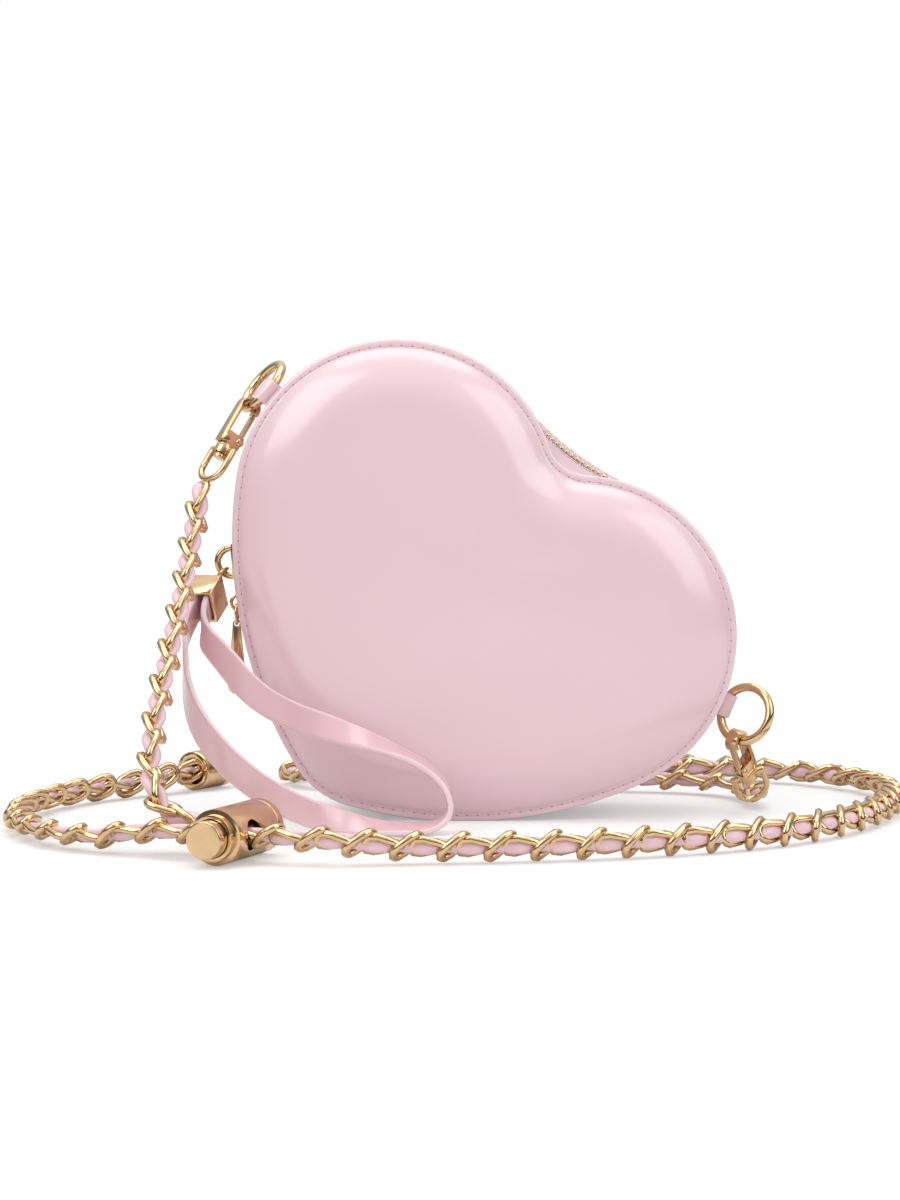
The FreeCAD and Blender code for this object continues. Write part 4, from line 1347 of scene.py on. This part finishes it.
@dataclass
class Chain:
    """A stretch of curb chain with a leather lace woven through its links."""

    name: str
    node: str
    route: list[Point]
    bend: Bend | None = None
    part: Pair = (0.0, 1.0)
    margins: Pair = (5.6, 5.6)
    up: Point = (0.0, 0.0, 1.0)
    follow: bool = True
    diameter: float = 9.0
    unit_length: float = 14.8
    leaning_link: Pair = (13.6, 9.2)
    lying_link: Pair = (14.6, 8.6)
    lean: float = 38.0
    lean_roll: float = -30.0
    twist: float = 40.0
    roll: float = 54.0
    wire: float = 1.34
    wire_steps: tuple[int, int] = (14, 6)
    drawn_share: float = 0.5
    lace: Pair = (2.6, 1.45)
    lace_sides: int = 10
    lace_steps: int = 10
    pinch: float = 0.08
    sway: float = 0.4
    weave: float = 0.3

    def line(self) -> np.ndarray:
        """The smooth line of the stretch, which is a part of its route's line.

        Returns:
            Points of the line, in metres.
        """
        whole = spline_line(f"{self.name}_guide", self.route)
        run = run_along(whole)
        low, high = (share * run[-1] for share in self.part)
        first, last = points_at(whole, np.array([low, high]))
        return np.vstack([first, whole[(run > low) & (run < high)], last])

    def link_shape(self, size: Pair, twist: float) -> Shape:
        """One link: a wire ring drawn out along X and twisted about it.

        Args:
            size: length and width of the link over its wire.
            twist: angle that its ends are twisted by, in degrees.

        Returns:
            Points, in metres, and faces.
        """
        deselect()
        (length, width), (steps, wire_steps) = size, self.wire_steps
        radius = width / 2 - self.wire
        bpy.ops.mesh.primitive_torus_add(
            major_segments=steps, minor_segments=wire_steps,
            major_radius=radius * MM, minor_radius=self.wire * MM,
        )
        points, faces = template(bpy.context.object)
        half_drawn = (length - width) / 2 * MM
        points[:, 0] += half_drawn * np.clip(points[:, 0] / (radius * self.drawn_share * MM), -1, 1)
        angle = math.radians(twist) * points[:, 0] / (length / 2 * MM)
        c, s = np.cos(angle), np.sin(angle)
        y, z = points[:, 1].copy(), points[:, 2].copy()
        points[:, 1], points[:, 2] = y * c - z * s, y * s + z * c
        return points, faces

    def links(self, line: np.ndarray) -> Shape:
        """All links: in each unit one that lies along the lace and one that leans round it.

        Args:
            line: the stretch's line.

        Returns:
            Points, in metres, and faces.
        """
        margins = (self.margins[0] * MM, self.margins[1] * MM)
        places, along = resample(line, self.unit_length / 2 * MM, margins)
        normals, across, turns = frames(along, np.array(self.up), self.follow)
        lean, lean_roll = math.radians(self.lean), math.radians(self.lean_roll)
        lying = self.link_shape(self.lying_link, self.twist)
        leaning = self.link_shape(self.leaning_link, 0.0)
        placed = []
        for k, (place, t, n, b) in enumerate(zip(places, along, normals, across)):
            if k % 2:
                points, faces = leaning
                long = t * math.cos(lean) + n * math.sin(lean)
                rise = n * math.cos(lean) - t * math.sin(lean)
                wide = b * math.cos(lean_roll) + rise * math.sin(lean_roll)
            else:
                points, faces = lying
                roll = math.radians(self.roll) * math.cos(turns[k])
                long, wide = t, n * math.cos(roll) + b * math.sin(roll)
            base = np.stack([long, wide, np.cross(long, wide)])
            placed.append((points @ base + place, faces))
        return gather(placed)

    def lace_tube(self, line: np.ndarray) -> Shape:
        """The lace: a flat strip inside the links, pressed in where a link leans round it.

        Args:
            line: the stretch's line.

        Returns:
            Points, in metres, and faces.
        """
        points, along = resample(line, self.unit_length / self.lace_steps * MM)
        normals, across, _ = frames(along, np.array(self.up), self.follow)
        length = run_along(line)[-1] / MM
        linked = length - sum(self.margins)
        halves = round(linked / (self.unit_length / 2))
        at = np.linspace(0, length, len(points)) - self.margins[0]
        phase = at / linked * halves * math.pi
        points = points + across * (np.cos(phase) * self.sway * MM)[:, None]
        points = points + normals * (np.sin(phase) * self.weave * MM)[:, None]
        half_wide, half_thick = self.lace
        wide = half_wide * (1 - self.pinch + self.pinch * np.cos(phase))
        turns = np.arange(self.lace_sides) / self.lace_sides * 2 * math.pi
        c, s = np.cos(turns)[:, None], np.sin(turns)[:, None]
        return tube([
            p + (c * n * w + s * b * half_thick) * MM
            for p, n, b, w in zip(points, normals, across, wide)
        ])

    def build(self, far_end: str, with_pieces: tuple[bpy.types.Object, ...] = ()) -> None:
        """Args:
            far_end: what the far end goes into; not used.
            with_pieces: the separate pieces on it; not used.
        """
        line = self.line()
        links = self.links(line)
        piece = mesh_piece(self.name, *gather([links, self.lace_tube(line)]))
        dress(piece, GOLD, None if self.bend else Rides.BAG, (self.node,))
        piece.data.materials.append(LACE.material())
        for face in piece.data.polygons:
            face.material_index = 1 if face.index >= len(links[1]) else 0
        length = float(run_along(line)[-1])
        LOG.info("%s: %.0f mm", self.name, length / MM)
        if self.bend:
            self.bend.apply(piece)


@dataclass
class HungChain(Chain):
    """A stretch that hangs, with its links turned to the front."""

    up: Point = (1.0, 0.0, 0.0)
    follow: bool = False
    roll: float = 68.0
    lean: float = 30.0
    weave: float = 1.1


@dataclass
class Strap:
    """The whole shoulder strap: chains with the stopper and the end cup on them."""

    end: float = 5.6
    joint: float = 3.7
    near_right: float = 0.0970
    near_left: float = 0.496

    def build(self) -> None:
        """Builds the stretches; those by the clasps and the stopper ride on no body."""
        pieces = bpy.data.objects
        stopper = tuple(pieces[f"stopper_{part}_finished"] for part in ("barrel", "cap", "button"))
        stopper += (FRAME["nodes"]["stopper_spring"],)
        first, second = (self.end, self.joint), (self.joint, self.end)
        left = HungChain(
            "left_laced_chain", "left_chain", LEFT_ROUTE, LEFT_BEND,
            part=(0, self.near_left), margins=first,
        )
        joining = HungChain(
            "joining_laced_chain", "left_chain", LEFT_ROUTE, STOPPER_BEND,
            part=(self.near_left, 1), margins=second,
        )
        right = Chain(
            "right_laced_chain", "main_chain", MAIN_ROUTE, RIGHT_BEND,
            part=(0, self.near_right), margins=first,
        )
        main_chain = Chain(
            "main_laced_chain", "main_chain", MAIN_ROUTE,
            part=(self.near_right, 1), margins=second,
        )
        tail = Chain("tail_laced_chain", "tail_chain", TAIL_ROUTE, margins=(self.end, self.end))
        for chain in (left, joining, right):
            chain.build("object")
        main_chain.build("object", stopper)
        tail.build("fitting", (pieces["end_cup_finished"],))


@dataclass
class WristStrap:
    """The flat leather loop of the wrist strap."""

    route: list[Point]
    width: float = 9.6
    thickness: float = 1.8
    step: float = 1.5
    flat_turn: float = 78.0
    flat_from: Pair = (0.36, 0.48)
    flat_to: Pair = (0.62, 0.80)
    smoothing: int = 12
    edge: tuple[Pair, ...] = ((0.0, 0.45), (0.35, 1.0), (1.1, 1.12))
    cut_sides: tuple[int, ...] = (0, 1, 6, 7, 8, 13)

    def profile(self) -> np.ndarray:
        """The section of the band, with rounded edges and a raised border.

        Returns:
            Place across the width and height of each point, in millimetres.
        """
        w, t = self.width / 2, self.thickness / 2
        border = [(-w + into, t * rise) for into, rise in self.edge]
        top = border + [(0.0, t)] + [(-x, y) for x, y in reversed(border)]
        under = [(-x, -y) for x, y in top]
        return np.array(under[-1:] + top + under[:-1])

    def broad_sides(self, along: np.ndarray) -> np.ndarray:
        """Directions across the band, which lies down on its way round the far turn.

        Args:
            along: the line's directions.

        Returns:
            One direction for each.
        """
        share = np.linspace(0, 1, len(along))
        lying = eased(share, *self.flat_from) * (1 - eased(share, *self.flat_to))
        tilt = math.radians(self.flat_turn) * lying
        broad = square_to(np.stack([0 * tilt, np.sin(tilt), np.cos(tilt)], axis=1), along)
        for _ in range(self.smoothing):
            broad[1:-1] = broad[:-2] + broad[1:-1] * 2 + broad[2:]
            broad = square_to(broad, along)
        return broad

    def build(self) -> None:
        line = spline_line("wrist_strap_guide", self.route)
        points, along = resample(line, self.step * MM)
        broad = self.broad_sides(along)
        flat = np.cross(along, broad)
        profile = self.profile() * MM
        across, over = profile[:, :1], profile[:, 1:]
        rings = [p + across * b + over * f for p, b, f in zip(points, broad, flat)]
        piece = mesh_piece("wrist_strap_band", *tube(rings))
        dress(piece, STRAP_PATENT, None, ("wrist_strap",))
        WRIST_BEND.apply(piece)
        piece.data.materials.append(EDGE.material())
        sides = len(profile)
        for face in piece.data.polygons[:-2]:
            face.material_index = 1 if face.index % sides in self.cut_sides else 0
        length = float(run_along(line)[-1])
        LOG.info("wrist strap: %.0f mm", length / MM)


@dataclass(frozen=True)
class Lamp:
    """An area light: its place and size, in metres, and its power."""

    name: str
    place: Point
    size: Pair
    power: float


@dataclass
class Studio:
    """The pale floor, the soft lights and the camera."""

    eye: Point = (-0.0051, -0.9, 0.12)
    pitch: float = 2.75
    lens: float = 75.0
    sensor: float = 36.0
    nearest_seen: float = 0.01
    ambient: float = 0.46
    dim: float = 0.14
    backdrop: float = 0.3
    horizon: Pair = (0.1, 0.95)
    floor_size: float = 6.0
    floor_height: float = -0.0002
    floor_grey: float = 0.9
    floor_fade: Pair = (0.26, 0.5)
    floor_glow: float = 0.25
    glow_strength: float = 1.35
    aim: Point = (0.0, 0.0, 0.08)
    lamps: tuple[Lamp, ...] = (
        Lamp("key", (-0.9, -0.8, 1.0), (1.0, 1.0), 8.6),
        Lamp("fill", (1.0, -0.7, 0.8), (0.9, 1.0), 5.6),
        Lamp("top", (0.0, 0.1, 1.4), (1.4, 1.0), 9.2),
    )

    def floor(self) -> None:
        """A pale floor that keeps the shadow and fades into the white behind it."""
        deselect()
        place = (0, 0, self.floor_height)
        bpy.ops.mesh.primitive_plane_add(size=self.floor_size, location=place)
        plane = bpy.context.object
        plane.name = "studio_floor"
        material = bpy.data.materials.new("studio_white")
        material.use_nodes = True
        tree = material.node_tree
        shader, out = tree.nodes["Principled BSDF"], tree.nodes["Material Output"]
        shader.inputs["Base Color"].default_value = (*[self.floor_grey] * 3, 1)
        shader.inputs["Roughness"].default_value = 0.6
        shader.inputs["Specular IOR Level"].default_value = 0.1
        path, where = add_node(tree, "LightPath"), add_node(tree, "TexCoord")
        reach = add_node(tree, "VectorMath", operation="LENGTH")
        far = self.ramp(tree, self.floor_fade)
        lift = add_node(tree, "Math", operation="MULTIPLY_ADD")
        lift.inputs[1].default_value = 1.0 - self.floor_glow
        lift.inputs[2].default_value = self.floor_glow
        seen = add_node(tree, "Math", operation="MULTIPLY")
        glow = add_node(tree, "Emission", Strength=self.glow_strength)
        mix = add_node(tree, "MixShader")
        join(
            tree,
            (where, "Object", reach, 0), (reach, "Value", far, "Value"), (far, 0, lift, 0),
            (lift, 0, seen, 0), (path, "Is Camera Ray", seen, 1), (seen, 0, mix, 0),
            (shader, 0, mix, 1), (glow, 0, mix, 2), (mix, 0, out, "Surface"),
        )
        plane.data.materials.append(material)

    def ramp(self, tree: bpy.types.NodeTree, reach: Pair, **values: float) -> bpy.types.Node:
        """A node that eases from one value to another over a reach."""
        low, high = reach
        return add_node(
            tree, "MapRange", interpolation_type="SMOOTHSTEP", From_Min=low, From_Max=high, **values
        )

    def world(self) -> None:
        """White behind the object, softer round it, and dimmer behind the camera."""
        world = bpy.data.worlds.new("studio")
        bpy.context.scene.world = world
        world.use_nodes = True
        tree = world.node_tree
        tree.nodes.clear()
        path, where = add_node(tree, "LightPath"), add_node(tree, "TexCoord")
        parts = add_node(tree, "SeparateXYZ")
        shade = self.ramp(tree, self.horizon, To_Min=self.dim)
        behind = self.ramp(tree, self.horizon, To_Max=self.backdrop)
        total = add_node(tree, "Math", operation="ADD")
        shiny = add_node(tree, "Math", operation="MAXIMUM")
        room, soft, white = (add_node(tree, "Background", Color=(1, 1, 1, 1)) for _ in range(3))
        soft.inputs["Strength"].default_value = self.ambient
        inner, outer = add_node(tree, "MixShader"), add_node(tree, "MixShader")
        out = add_node(tree, "OutputWorld")
        join(
            tree,
            (path, "Is Glossy Ray", shiny, 0), (path, "Is Transmission Ray", shiny, 1),
            (where, "Generated", parts, 0), (parts, "Z", shade, "Value"),
            (parts, "Y", behind, "Value"), (shade, 0, total, 0), (behind, 0, total, 1),
            (total, 0, room, "Strength"), (shiny, 0, inner, 0), (soft, 0, inner, 1),
            (room, 0, inner, 2), (path, "Is Camera Ray", outer, 0), (inner, 0, outer, 1),
            (white, 0, outer, 2), (outer, 0, out, "Surface"),
        )

    def light(self, lamp: Lamp) -> None:
        """An area light that faces the heart.

        Args:
            lamp: the light's name, place, size and power.
        """
        data = bpy.data.lights.new(lamp.name, "AREA")
        data.shape = "RECTANGLE"
        data.size, data.size_y = lamp.size
        data.energy = lamp.power
        light = bpy.data.objects.new(lamp.name, data)
        light.location = lamp.place
        facing = Vector(self.aim) - Vector(lamp.place)
        light.rotation_euler = facing.to_track_quat("-Z", "Y").to_euler()
        bpy.context.scene.collection.objects.link(light)

    def camera(self) -> None:
        """The photograph's view: a long lens, low and level."""
        data = bpy.data.cameras.new("view")
        data.sensor_fit = "VERTICAL"
        data.sensor_height = self.sensor
        data.lens = self.lens
        data.clip_start = self.nearest_seen
        camera = bpy.data.objects.new("view", data)
        camera.location = self.eye
        camera.rotation_euler = (math.radians(90 - self.pitch), 0, 0)
        bpy.context.scene.collection.objects.link(camera)
        bpy.context.scene.camera = camera

    def build(self) -> None:
        """Sets the whole studio."""
        self.floor()
        self.world()
        for lamp in self.lamps:
            self.light(lamp)
        self.camera()
        bpy.context.scene.view_settings.view_transform = "Standard"


def main() -> None:
    """Builds every sub-assembly in order and notes the sizes."""
    logging.basicConfig(level=logging.INFO, format="%(name)s %(message)s")
    Studio().build()
    body = Body()
    body.build()
    Zip(body).build()
    Hardware().build()
    Strap().build()
    WristStrap(STRAP_ROUTE).build()
    deselect()


if __name__ == "__main__":
    main()
